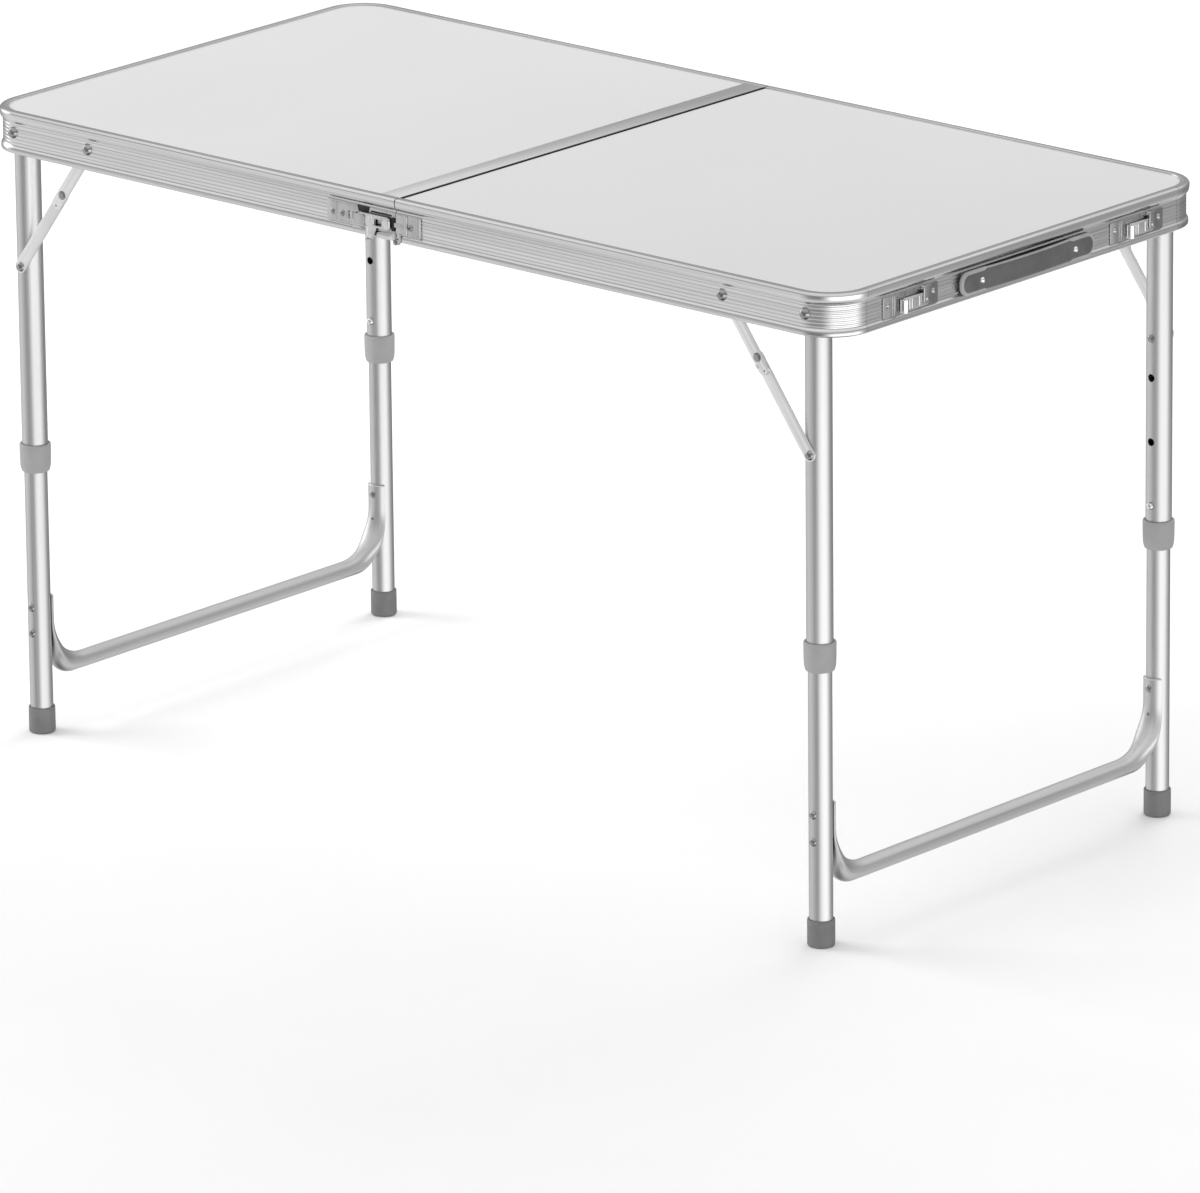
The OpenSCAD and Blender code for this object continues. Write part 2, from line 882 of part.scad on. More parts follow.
module handle_cap() {
    foot_bead_top = rim_bottom + foot_bead_height;
    difference() {
        x_plate(end_rib, end_rib + cap_depth)
            translate([handle_length / 2 - cap_length, handle_z - handle_width / 2])
                square([cap_length, handle_width]);
        x_plate(end_rib - 1, half_length - 1 + running)
            translate([handle_length / 2 - cap_length - 1, foot_bead_top + running - handle_width])
                square([cap_length + 2, handle_width]);
        x_plate(end_rib + 2, end_rib + 2 + strap_thickness + 0.6)
            translate([handle_length / 2 - cap_length - 1, handle_z - handle_width / 2 + 2])
                square([cap_length - 4, handle_width - 4]);
        x_bar(screw_y, handle_z, end_rib - 1, end_rib + cap_depth + 1, 2 + running);
    }
}

module handle_end_caps() {
    color("dimgray") front_and_back() handle_cap();
}

// Strap as seen from above: level ends inside the caps and a flat arc between them
module handle_strap() {
    reach = handle_length / 2 - cap_length;
    bow_r = (reach * reach + strap_bow * strap_bow) / (2 * strap_bow);
    inside = end_rib + 2.3;
    strap_height = handle_width - 4.6;
    color("gray") translate([0, 0, handle_z - strap_height / 2]) difference() {
        union() {
            front_and_back() translate([inside, reach - 1, 0])
                cube([strap_thickness, cap_length - 4.5, strap_height]);
            intersection() {
                translate([inside + strap_bow - bow_r, 0, 0]) difference() {
                    cylinder(h = strap_height, r = bow_r + strap_thickness, $fn = 900);
                    translate([0, 0, -1]) cylinder(h = strap_height + 2, r = bow_r, $fn = 900);
                }
                translate([inside - 1, -reach, -1]) cube([20, 2 * reach, strap_height + 2]);
            }
        }
        for (side = [-1, 1])
            x_bar(side * screw_y, strap_height / 2, end_rib - 1, end_rib + 10, 2.6);
    }
}

module handle_screws() {
    color("lightgray") for (side = [-1, 1]) {
        x_bar(side * screw_y, handle_z, end_rib, end_rib + cap_depth, 2);
        translate([end_rib + cap_depth, side * screw_y, handle_z]) rotate([0, 90, 0])
            dome(4, 2);
    }
}

panel_left();
panel_right();
rail_front_left();
rail_back_left();
rail_end_left();
rail_front_right();
rail_back_right();
rail_end_right();
seam_strip_left();
seam_strip_right();
leg_pivot_rivets_left();
leg_pivot_rivets_right();
brace_rail_rivets_left();
brace_rail_rivets_right();
lock_plate_front_left();
lock_plate_back_left();
lock_plate_front_right();
lock_plate_back_right();
lock_plate_rivets_left();
lock_plate_rivets_right();
hinge_pins();
lock_lever_front();
lock_lever_back();
upper_leg_front_left();
upper_leg_back_left();
upper_leg_front_right();
upper_leg_back_right();
collars_left();
collars_right();
brace_leg_rivets_left();
brace_leg_rivets_right();
lower_leg_front_left();
lower_leg_back_left();
lower_leg_front_right();
lower_leg_back_right();
feet_left();
feet_right();
crossbar_left();
crossbar_right();
crossbar_rivets_left();
crossbar_rivets_right();
button_springs_left();
button_springs_right();
snap_button_front_left();
snap_button_back_left();
snap_button_front_right();
snap_button_back_right();
brace_uppers_left();
brace_uppers_right();
brace_lowers_left();
brace_lowers_right();
brace_elbow_rivets_left();
brace_elbow_rivets_right();
latch_bases();
latch_arm_front();
latch_arm_back();
latch_catches();
handle_end_caps();
handle_strap();
handle_screws();
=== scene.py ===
"""Looks of the folding table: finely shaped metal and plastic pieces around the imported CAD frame.

Sizes are in millimetres, distances off the middle plane are positive outwards, and build() turns
them into metres. Every piece is drawn once, for the front right, and flipped to its other places.
"""

import json
import math

import bmesh
import bpy
from mathutils import Matrix, Vector
from mathutils.geometry import tessellate_polygon


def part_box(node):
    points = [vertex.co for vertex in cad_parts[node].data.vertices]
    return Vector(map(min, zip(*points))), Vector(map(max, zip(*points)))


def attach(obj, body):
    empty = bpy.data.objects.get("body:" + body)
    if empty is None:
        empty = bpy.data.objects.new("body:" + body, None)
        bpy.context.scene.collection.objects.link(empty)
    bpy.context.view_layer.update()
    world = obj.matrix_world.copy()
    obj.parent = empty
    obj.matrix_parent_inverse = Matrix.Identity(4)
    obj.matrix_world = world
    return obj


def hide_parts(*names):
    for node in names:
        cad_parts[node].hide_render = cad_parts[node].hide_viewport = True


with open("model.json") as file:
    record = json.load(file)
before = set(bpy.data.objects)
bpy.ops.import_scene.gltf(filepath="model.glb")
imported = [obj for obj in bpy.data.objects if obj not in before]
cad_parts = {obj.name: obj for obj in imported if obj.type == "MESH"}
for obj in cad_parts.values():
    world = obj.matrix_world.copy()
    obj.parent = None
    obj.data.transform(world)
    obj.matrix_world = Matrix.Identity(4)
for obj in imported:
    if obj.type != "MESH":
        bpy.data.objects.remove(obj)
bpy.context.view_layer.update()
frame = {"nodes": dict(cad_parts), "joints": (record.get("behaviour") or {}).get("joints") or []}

MM = 0.001
SIDES = (("left", -1), ("right", 1))
ROWS = (("front", 1), ("back", -1))


def box_mm(node):
    """Lowest and highest corners of a CAD node, in millimetres."""
    low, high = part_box(node)
    return low / MM, high / MM


# ---- sizes that come from the frame ----

RAIL_LOW, RAIL_HIGH = box_mm("rail_front_right")
END_HIGH = box_mm("rail_end_right")[1]
LEG_LOW, LEG_HIGH = box_mm("upper_leg_front_right")
SHIN_LOW, SHIN_HIGH = box_mm("lower_leg_front_right")
COLLAR_LOW, COLLAR_HIGH = box_mm("collars_right")
FOOT_HIGH = box_mm("feet_right")[1]
BAR_LOW, BAR_HIGH = box_mm("crossbar_right")
PANEL_LOW = box_mm("panel_right")[0]
STRIP_LOW, STRIP_HIGH = box_mm("seam_strip_left")
CAP_LOW, CAP_HIGH = box_mm("handle_end_caps")
BUTTON_LOW, BUTTON_HIGH = box_mm("snap_button_front_right")

HALF_WIDTH = -RAIL_LOW.y
HALF_LENGTH = END_HIGH.x
TOP = RAIL_HIGH.z
RIM_LOW = RAIL_LOW.z
CORNER_Y = END_HIGH.y
CORNER_X = HALF_LENGTH - (HALF_WIDTH - CORNER_Y)
SEAM = RAIL_LOW.x
LEG_X = (LEG_LOW.x + LEG_HIGH.x) / 2
LEG_Y = -(LEG_LOW.y + LEG_HIGH.y) / 2
LEG_R = (LEG_HIGH.x - LEG_LOW.x) / 2
SHIN_R = (SHIN_HIGH.x - SHIN_LOW.x) / 2
BAR_R = (BAR_HIGH.x - BAR_LOW.x) / 2
BUTTON_Z = round((BUTTON_LOW.z + BUTTON_HIGH.z) / 2, 3)
JOINTS = {joint["name"]: joint for joint in frame["joints"]}
PIVOT_Z = JOINTS["leg_fold_right"]["pos_m"][2] / MM
BRACE_RAIL_X = JOINTS["upper_link_turn_right"]["pos_m"][0] / MM
BRACE_LEG_Z = JOINTS["lower_link_turn_right"]["pos_m"][2] / MM
LEVER_X = JOINTS["lock_lever_lift_front"]["pos_m"][0] / MM
LEVER_Z = JOINTS["lock_lever_lift_front"]["pos_m"][2] / MM
ARM_Z = JOINTS["latch_arm_swing_front"]["pos_m"][2] / MM
ARM_Y = -JOINTS["latch_arm_swing_front"]["pos_m"][1] / MM

# ---- sizes settled here ----

WEB_OUT = HALF_WIDTH - 3.5
RIB_OUT = HALF_WIDTH - 3
WEB_IN = HALF_WIDTH - 6
LIP_IN = HALF_WIDTH - 10
FITTING_LOW = RIM_LOW + 8.1
FITTING_HIGH = TOP - 14.6
PLATE_THICK = 1.4
TUBE_WALL = 1.2
HOLE_STEP = 70
LINK_HALF = 7.25
LINK_THICK = 1.5
PIN_R = 2
CLEAR = 0.12
BUMP_DEPTH = 0.0002
BOTH = ((1, 1), (1, -1))


# ---- outlines and solids ----

def arc(cx, cy, r, start, end, count):
    """Points on an arc from one angle to another, in degrees, both ends included."""
    angles = [math.radians(start + (end - start) * i / count) for i in range(count + 1)]
    return [(cx + r * math.cos(a), cy + r * math.sin(a)) for a in angles]


def circle(cx, cy, r, count=32):
    """A closed round outline."""
    return arc(cx, cy, r, 0, 360, count)[:-1]


def rounded(points, radius, count=5):
    """A closed outline with its corners rounded; radius is one number or one for each corner."""
    radii = radius if hasattr(radius, "__len__") else [radius] * len(points)
    out = []
    for i, corner in enumerate(points):
        here = Vector(corner)
        before, after = Vector(points[i - 1]), Vector(points[(i + 1) % len(points)])
        a, b = (before - here).normalized(), (after - here).normalized()
        if radii[i] <= 0:
            out.append(tuple(here))
            continue
        half = a.angle(b) / 2
        reach = radii[i] / math.tan(half)
        start, end = here + a * reach, here + b * reach
        middle = here + (a + b).normalized() * radii[i] / math.sin(half)
        first, last = (start - middle).normalized(), (end - middle).normalized()
        for k in range(count + 1):
            out.append(tuple(middle + radii[i] * first.slerp(last, k / count)))
    return out


def rectangle(u0, v0, u1, v1, radius=0.0, count=5):
    """A closed four-sided outline, with rounded corners if it has a radius."""
    corners = [(u0, v0), (u1, v0), (u1, v1), (u0, v1)]
    return rounded(corners, radius, count) if radius else corners


def area(loop):
    """Signed area of an outline, positive when it runs anticlockwise."""
    return sum(loop[i - 1][0] * loop[i][1] - loop[i][0] * loop[i - 1][1] for i in range(len(loop))) / 2


def inset(loop, by):
    """The loop moved to its left by a distance, which is into the material of a plate."""
    out = []
    for i, point in enumerate(loop):
        here = Vector(point)
        d0 = (here - Vector(loop[i - 1])).normalized()
        d1 = (Vector(loop[(i + 1) % len(loop)]) - here).normalized()
        n0, n1 = Vector((-d0.y, d0.x)), Vector((-d1.y, d1.x))
        out.append(tuple(here + (n0 + n1) * (by / max(0.3, 1 + n0.dot(n1)))))
    return out


def front(u, v, w):
    """Drawn in X and Z, w outwards from the middle plane, on the front side."""
    return (u, -w, v)


def end(u, v, w):
    """Drawn in Y and Z, w outwards along X."""
    return (w, u, v)


def level(u, v, w):
    """Drawn in X and Y, w upwards."""
    return (u, v, w)


def moved(place, du=0.0, dv=0.0, dw=0.0):
    """The placing shifted in its own three directions."""
    return lambda u, v, w: place(u + du, v + dv, w + dw)


def inwards(x, z, start):
    """Like front at x and z, but w runs towards the middle plane, from a distance off it."""
    return lambda u, v, w: (x + u, -(start - w), z + v)


def flipped_pair(sx):
    """Front and back of one side."""
    return ((sx, 1), (sx, -1))


AT_LEG = moved(level, LEG_X, -LEG_Y)


def plate(loops, w0, w1, bevel=0.3, place=front, steps=2):
    """A plate between two depths with rounded edges; the first loop is the outline, others are holes."""
    turned = [loop if (area(loop) > 0) == (i == 0) else loop[::-1] for i, loop in enumerate(loops)]
    bevel = min(bevel, abs(w1 - w0) * 0.45)
    stations = []
    for k in range(steps + 1):
        t = math.radians(90 * k / steps)
        stations.append((bevel * (1 - math.sin(t)), w0 + bevel * (1 - math.cos(t))))
    stations += [(b, w1 + w0 - w) for b, w in reversed(stations)]
    verts, faces, starts = [], [], []
    for loop in turned:
        starts.append(len(verts))
        n = len(loop)
        for s, (by, w) in enumerate(stations):
            verts += [(u, v, w) for u, v in inset(loop, by)]
            if s:
                base = starts[-1] + (s - 1) * n
                faces += [(base + i, base + (i + 1) % n, base + n + (i + 1) % n, base + n + i)
                          for i in range(n)]
    for s in (0, len(stations) - 1):
        rings, index = [], []
        for start, loop in zip(starts, turned):
            first = start + s * len(loop)
            ring = list(range(first, first + len(loop)))
            index += ring
            rings.append([Vector((verts[i][0], verts[i][1], 0)) for i in ring])
        faces += [tuple(index[i] for i in tri) for tri in tessellate_polygon(rings)]
    return [place(*p) for p in verts], faces, [(p[1], p[2], p[0]) for p in verts]


def slab(u0, v0, u1, v1, radius, w0, w1, bevel, steps=2, place=front):
    """A four-sided plate with rounded corners and edges."""
    return plate([rectangle(u0, v0, u1, v1, radius)], w0, w1, bevel, place, steps)


def loft(rings, grain):
    """A skin through equal rings of points, with flat ends."""
    n = len(rings[0])
    verts = [p for ring in rings for p in ring]
    faces = []
    for s in range(len(rings) - 1):
        a, b = s * n, (s + 1) * n
        faces += [(a + i, a + (i + 1) % n, b + (i + 1) % n, b + i) for i in range(n)]
    for first in (0, len(verts) - n):
        tris = tessellate_polygon([[Vector(p) for p in verts[first:first + n]]])
        faces += [tuple(first + i for i in tri) for tri in tris]
    return verts, faces, [g for ring in grain for g in ring]


def lathe(profile, place=level, segments=64, closed=False):
    """A turned solid: profile is radius and height. A radius of nought is a pole."""
    verts, faces, grain, rings = [], [], [], []
    for r, h in profile:
        if r < 1e-6:
            rings.append([len(verts)] * segments)
            verts.append(place(0, 0, h))
            grain.append((0, 0, h))
            continue
        rings.append(list(range(len(verts), len(verts) + segments)))
        for i in range(segments):
            a = math.tau * i / segments
            verts.append(place(r * math.cos(a), r * math.sin(a), h))
            grain.append((r * math.cos(a), r * math.sin(a), h))
    for s in range(len(rings) if closed else len(rings) - 1):
        low, high = rings[s], rings[(s + 1) % len(rings)]
        for i in range(segments):
            j = (i + 1) % segments
            face = list(dict.fromkeys((low[i], low[j], high[j], high[i])))
            if len(face) > 2:
                faces.append(tuple(face))
    return verts, faces, grain


def dome(r, h, sink=1.5, rim=0.35):
    """Profile of a domed rivet head with a small straight rim, sunk a little into what it holds."""
    bow = (r * r + (h - rim) ** 2) / (2 * (h - rim))
    reach = math.degrees(math.asin(min(1.0, r / bow)))
    crown = [(bow * math.sin(math.radians(reach * k / 9)),
              h - bow + bow * math.cos(math.radians(reach * k / 9))) for k in range(10)]
    return [(0, h)] + crown[1:] + [(r, rim), (r + 0.05, 0), (r - 0.2, -sink), (0, -sink)]


def pin(x, z, from_y, to_y, r, segments=24):
    """A plain round bar along Y on the front side."""
    return lathe([(0, from_y), (r, from_y), (r, to_y), (0, to_y)], moved(front, x, z, 0), segments)


# ---- pieces ----

def carve(obj, cutters, flips):
    """Cuts solids out of a piece, exactly."""
    for cutter in cutters:
        tool = mesh_object("cutter", [cutter], flips)
        change = obj.modifiers.new("cut", "BOOLEAN")
        change.operation = "DIFFERENCE"
        change.solver = "EXACT"
        change.object = tool
        shaped = bpy.data.meshes.new_from_object(obj.evaluated_get(bpy.context.evaluated_depsgraph_get()))
        obj.modifiers.clear()
        obj.data = shaped
        bpy.data.objects.remove(tool)


def mesh_object(name, solids, flips):
    """An object made of solids in millimetres, once for each pair of signs in flips."""
    bm = bmesh.new()
    layer = bm.verts.layers.float_vector.new("grain")
    for sx, sy in flips:
        for verts, faces, grain in solids:
            made = []
            for p, g in zip(verts, grain):
                vert = bm.verts.new((sx * p[0] * MM, sy * p[1] * MM, p[2] * MM))
                vert[layer] = Vector(g) * MM
                made.append(vert)
            for face in faces:
                bm.faces.new([made[i] for i in face])
    bmesh.ops.recalc_face_normals(bm, faces=bm.faces)
    mesh = bpy.data.meshes.new(name)
    bm.to_mesh(mesh)
    bm.free()
    obj = bpy.data.objects.new(name, mesh)
    bpy.context.scene.collection.objects.link(obj)
    return obj


def build(name, solids, material, body, slot, nodes=(), flips=((1, 1),), cutters=()):
    """One visible piece from solids in millimetres, riding on a body and standing for CAD nodes."""
    obj = mesh_object(name, solids, flips)
    if cutters:
        carve(obj, cutters, flips)
    mesh = obj.data
    mesh.polygons.foreach_set("use_smooth", [True] * len(mesh.polygons))
    mesh.set_sharp_from_angle(angle=math.radians(34))
    mesh.materials.clear()
    mesh.materials.append(material)
    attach(obj, body)
    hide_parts(*nodes)
    return obj


def stand_in(node, *piece, **more):
    """A piece that stands for one CAD node and is named after it."""
    return build(node + "_look", *piece, nodes=[node], **more)


# ---- materials ----

class Nodes:
    """Short hand for building a node tree. A colour given as one number is a shade of grey."""

    def __init__(self, tree):
        self.tree = tree

    def add(self, kind, **values):
        node = self.tree.nodes.new(kind)
        for key, value in values.items():
            if hasattr(node, key):
                setattr(node, key, value)
            else:
                node.inputs[key.replace("_", " ")].default_value = value
        return node

    def link(self, out, into):
        self.tree.links.new(out, into)

    def ramp(self, stops, source):
        node = self.add("ShaderNodeValToRGB")
        elements = node.color_ramp.elements
        while len(elements) > 1:
            elements.remove(elements[-1])
        for i, (position, value) in enumerate(stops):
            element = elements[0] if i == 0 else elements.new(position)
            element.position = position
            shade = value if hasattr(value, "__len__") else (value, value, value)
            element.color = (*shade, 1)
        self.link(source, node.inputs["Fac"])
        return node.outputs["Color"]

    def span(self, source, low, high, to_low, to_high):
        node = self.add("ShaderNodeMapRange", From_Min=low, From_Max=high, To_Min=to_low, To_Max=to_high)
        self.link(source, node.inputs["Value"])
        return node.outputs["Result"]

    def noise(self, vector, scale, detail=2.0, roughness=0.5):
        node = self.add("ShaderNodeTexNoise", Scale=scale, Detail=detail, Roughness=roughness)
        self.link(vector, node.inputs["Vector"])
        return node.outputs["Fac"]

    def stretch(self, vector, scale):
        node = self.add("ShaderNodeMapping", Scale=scale)
        self.link(vector, node.inputs["Vector"])
        return node.outputs["Vector"]

    def mix(self, share, first, second):
        node = self.add("ShaderNodeMix", data_type="RGBA")
        self.link(share, node.inputs["Factor"])
        self.link(first, node.inputs[6])
        self.link(second, node.inputs[7])
        return node.outputs[2]

    def relief(self, shader, height, strength, rough):
        """Fine bumps on a shader, and the uneven gloss that goes with them."""
        self.link(self.span(height, 0.3, 0.7, *rough), shader.inputs["Roughness"])
        bump = self.add("ShaderNodeBump", Strength=strength, Distance=BUMP_DEPTH)
        self.link(height, bump.inputs["Height"])
        self.link(bump.outputs["Normal"], shader.inputs["Normal"])

    def math(self, operation, a, b):
        node = self.add("ShaderNodeMath", operation=operation)
        for socket, value in zip(node.inputs, (a, b)):
            if hasattr(value, "is_linked"):
                self.link(value, socket)
            else:
                socket.default_value = value
        return node.outputs["Value"]


def new_material(name):
    material = bpy.data.materials.new(name)
    material.use_nodes = True
    material.node_tree.nodes.clear()
    nodes = Nodes(material.node_tree)
    shader = nodes.add("ShaderNodeBsdfPrincipled")
    output = nodes.add("ShaderNodeOutputMaterial")
    nodes.link(shader.outputs["BSDF"], output.inputs["Surface"])
    return material, nodes, shader


def metal(name, dark, light, rough, grain, broad, bump, use_grain=True):
    """Drawn or brushed metal: fine streaks along the grain over broader, fainter bands."""
    material, nodes, shader = new_material(name)
    if use_grain:
        source = nodes.add("ShaderNodeAttribute", attribute_name="grain").outputs["Vector"]
    else:
        source = nodes.add("ShaderNodeTexCoord").outputs["Object"]
    fine = nodes.noise(nodes.stretch(source, grain), 1.0, 3.0, 0.6)
    wide = nodes.noise(nodes.stretch(source, broad), 1.0, 2.0, 0.5)
    both = nodes.math("ADD", nodes.math("MULTIPLY", fine, 0.5), nodes.math("MULTIPLY", wide, 0.5))
    nodes.link(nodes.ramp([(0.32, dark), (0.68, light)], both), shader.inputs["Base Color"])
    shader.inputs["Metallic"].default_value = 1.0
    nodes.relief(shader, fine, bump, rough)
    return material


def moulded(name, dark, light, rough, pebble=2200, bump=0.12):
    """Moulded plastic: a fine pebbled skin, soft mottling and slightly uneven gloss."""
    material, nodes, shader = new_material(name)
    source = nodes.add("ShaderNodeTexCoord").outputs["Object"]
    grain = nodes.noise(source, pebble, 2.0, 0.6)
    clouds = nodes.noise(source, 38, 3.0, 0.55)
    nodes.link(nodes.ramp([(0.3, dark), (0.7, light)], clouds), shader.inputs["Base Color"])
    nodes.relief(shader, grain, bump, rough)
    return material


def laminate(name):
    """Smooth pale melamine: an even shade, faint clouding and a very fine orange-peel gloss."""
    material, nodes, shader = new_material(name)
    source = nodes.add("ShaderNodeTexCoord").outputs["Object"]
    clouds = nodes.noise(source, 2.6, 2.0, 0.5)
    peel = nodes.noise(source, 420, 3.0, 0.55)
    nodes.link(nodes.ramp([(0.25, (0.70, 0.70, 0.702)), (0.75, 0.73)], clouds), shader.inputs["Base Color"])
    nodes.relief(shader, peel, 0.03, (0.30, 0.38))
    return material


rim_metal = metal("rim_metal", 0.58, 0.90, (0.16, 0.30), (340, 900, 1.6), (90, 300, 2.5), 0.10)
tube_metal = metal("tube_metal", 0.62, 0.79, (0.36, 0.48), (700, 700, 2.5), (110, 110, 1.2), 0.05)
strip_metal = metal("strip_metal", 0.78, 0.92, (0.28, 0.38), (900, 900, 4), (60, 60, 4), 0.05)
zinc = metal("zinc", 0.84, 0.97, (0.26, 0.38), (260, 260, 12), (70, 70, 30), 0.06)
plate_metal = metal("plate_metal", 0.38, 0.56, (0.20, 0.30), (220, 220, 14), (60, 60, 20), 0.03, False)
lock_metal = metal("lock_metal", 0.50, 0.68, (0.20, 0.30), (220, 220, 14), (60, 60, 20), 0.03, False)
lever_metal = metal("lever_metal", 0.60, 0.80, (0.10, 0.18), (300, 300, 200), (60, 60, 60), 0.03, False)
bright = metal("bright", 0.80, 0.96, (0.07, 0.14), (300, 300, 200), (60, 60, 60), 0.03, False)
rivet_metal = metal("rivet_metal", 0.31, 0.45, (0.06, 0.11), (260, 260, 260), (60, 60, 60), 0.03, False)
collar_plastic = moulded("collar_plastic", 0.36, 0.41, (0.42, 0.55))
foot_plastic = moulded("foot_plastic", 0.18, 0.22, (0.42, 0.56))
# Near-black, used only as painted shade: pieces set into gaps and hollows at the seam and the locks.
gap_shade_black = moulded("gap_shade_black", 0.012, 0.022, (0.5, 0.6))
# Lighter copy of the handle plastic: painted highlight on the caps' rounded edges and along the strap's top
# edge.
handle_highlight_plastic = moulded("handle_highlight_plastic", 0.36, 0.48, (0.3, 0.4), 1500, 0.1)
handle_plastic = moulded("handle_plastic", 0.10, 0.14, (0.34, 0.46), 1500, 0.2)
melamine = laminate("melamine")


# ---- rails ----

def rail_profile():
    """Section of the rim: distance off the middle plane, height. It runs from the lip outwards and down."""
    lip = [(LIP_IN, TOP - 1.5), (LIP_IN, TOP - 0.5), (LIP_IN + 0.2, TOP - 0.12), (LIP_IN + 0.6, TOP)]
    shoulder = arc(HALF_WIDTH - 3.2, TOP - 3.2, 3.2, 90, 0, 8)
    belly = [(HALF_WIDTH - 0.15, TOP - 6.5), (HALF_WIDTH - 0.7, TOP - 9)]
    hollow = [(HALF_WIDTH - 1.7, TOP - 10.6), (HALF_WIDTH - 2.8, TOP - 11.6), (WEB_OUT, TOP - 12.8)]
    high, low = TOP - 13.4, RIM_LOW + 9.6
    ribs, count, steps = [], 6, 6
    for i in range(count * steps + 1):
        swell = 0.5 - 0.5 * math.cos(math.tau * i / steps)
        ribs.append((WEB_OUT + 0.34 * swell, high + (low - high) * i / (count * steps)))
    foot = [(WEB_OUT + 0.1, RIM_LOW + 8.8), (WEB_OUT + 0.9, RIM_LOW + 7.6), (WEB_OUT + 1.7, RIM_LOW + 6.9),
            (HALF_WIDTH - 1.15, RIM_LOW + 5.6)]
    heel = arc(HALF_WIDTH - 3.2, RIM_LOW + 2.2, 2.2, 0, -90, 7)
    inside = [(WEB_IN, RIM_LOW), (WEB_IN, PANEL_LOW.z - 2), (LIP_IN, PANEL_LOW.z - 2), (LIP_IN, PANEL_LOW.z),
              (WEB_IN, PANEL_LOW.z), (WEB_IN, TOP - 1.5)]
    return lip + shoulder + belly + hollow + ribs + foot + heel + inside


def long_rail():
    """A front rail: straight from the seam, then a quarter bend round the corner."""
    profile = rail_profile()
    rings, grain = [], []
    for x in (SEAM, SEAM + 60, (SEAM + CORNER_X) / 2, CORNER_X - 60, CORNER_X):
        rings.append([(x, -d, z) for d, z in profile])
        grain.append([(d, z, x) for d, z in profile])
    turns = 24
    for k in range(1, turns + 1):
        a = math.radians(90 * k / turns)
        rings.append([(CORNER_X + (d - CORNER_Y) * math.sin(a), -CORNER_Y - (d - CORNER_Y) * math.cos(a), z)
                      for d, z in profile])
        grain.append([(d, z, CORNER_X + (HALF_WIDTH - CORNER_Y) * a) for d, z in profile])
    return loft(rings, grain)


def hinge_notch():
    """Room at the seam for the hinge: a round notch and a cut in the foot bead."""
    low = RIM_LOW - 1
    ring = circle(0, RIM_LOW, 4.4, 40)
    box = rectangle(-1, low, 8.6, RIM_LOW + 9.2)
    return [plate([ring], WEB_IN - 1, HALF_WIDTH + 1, 0), plate([box], RIB_OUT, HALF_WIDTH + 1, 0)]


def make_rails():
    """Front, back and end rails of both halves; a fine gap shows where an end rail meets the others."""
    profile, gap, grain_start = rail_profile(), 0.35, 900
    shift = HALF_LENGTH - HALF_WIDTH
    stations = (-CORNER_Y + gap, -CORNER_Y / 2, 0, CORNER_Y / 2, CORNER_Y - gap)
    rings = [[(d + shift, y, z) for d, z in profile] for y in stations]
    grain = [[(d, z, y + grain_start) for d, z in profile] for y in stations]
    for side, sx in SIDES:
        for row, sy in ROWS:
            stand_in(f"rail_{row}_{side}", [long_rail()], rim_metal, f"top_{side}", "rim", flips=((sx, sy),),
                     cutters=hinge_notch())
        stand_in(f"rail_end_{side}", [loft(rings, grain)], rim_metal, f"top_{side}", "rim", flips=((sx, 1),))


def make_seam_strips():
    """The flat strip along the left half's edge, turned down at the seam, and a black strip beside it,
    painted shade of the seam gap.
    """
    thick = 1.5
    edge = STRIP_HIGH.x - thick
    outline = rounded([(STRIP_LOW.x, TOP - thick), (STRIP_LOW.x, TOP), (edge, TOP),
                       (edge, STRIP_LOW.z), (edge - thick, STRIP_LOW.z),
                       (edge - thick, TOP - thick)], [0, 0.5, 0.5, 0.3, 0.3, 0], 4)
    along = lambda u, v, w: (u, w, v)
    verts, faces, _ = plate([outline[::-1]], STRIP_LOW.y, STRIP_HIGH.y, 0.1, along)
    strip = (verts, faces, [(x, z, y) for x, y, z in verts])
    stand_in("seam_strip_left", [strip], strip_metal, "top_left", "strip")
    # Painted shade: a black strip in the seam gap, standing for the gap's shade.
    gap_shade_strip = rectangle(edge + 0.05, STRIP_LOW.z, STRIP_HIGH.x, TOP - 0.5, 0.3)
    build("seam_gap_shade_look", [plate([gap_shade_strip[::-1]], STRIP_LOW.y, STRIP_HIGH.y, 0.1, along)], gap_shade_black,
          "top_left", "strip")


# ---- legs ----

def tube_profile(r, low, high):
    """Section of a tube with slightly broken outer edges."""
    lip, bore = 0.35, r - TUBE_WALL
    return [(r - lip, low), (r, low + lip), (r, high - lip), (r - lip, high), (bore, high), (bore, low)]


def make_leg_tubes(kind, r, low, high, hole_r, levels):
    """Four tubes of one kind, each with round holes for the height button."""
    tube = lathe(tube_profile(r, low, high), AT_LEG, 96, closed=True)
    holes = [plate([circle(0, 0, hole_r, 32)], LEG_Y - r - 2, LEG_Y - r + 5, 0, moved(front, LEG_X, z))
             for z in levels]
    for side, sx in SIDES:
        for row, sy in ROWS:
            stand_in(f"{kind}_leg_{row}_{side}", [tube], tube_metal, f"{kind}_legs_{side}", "tube",
                     flips=((sx, sy),), cutters=holes)


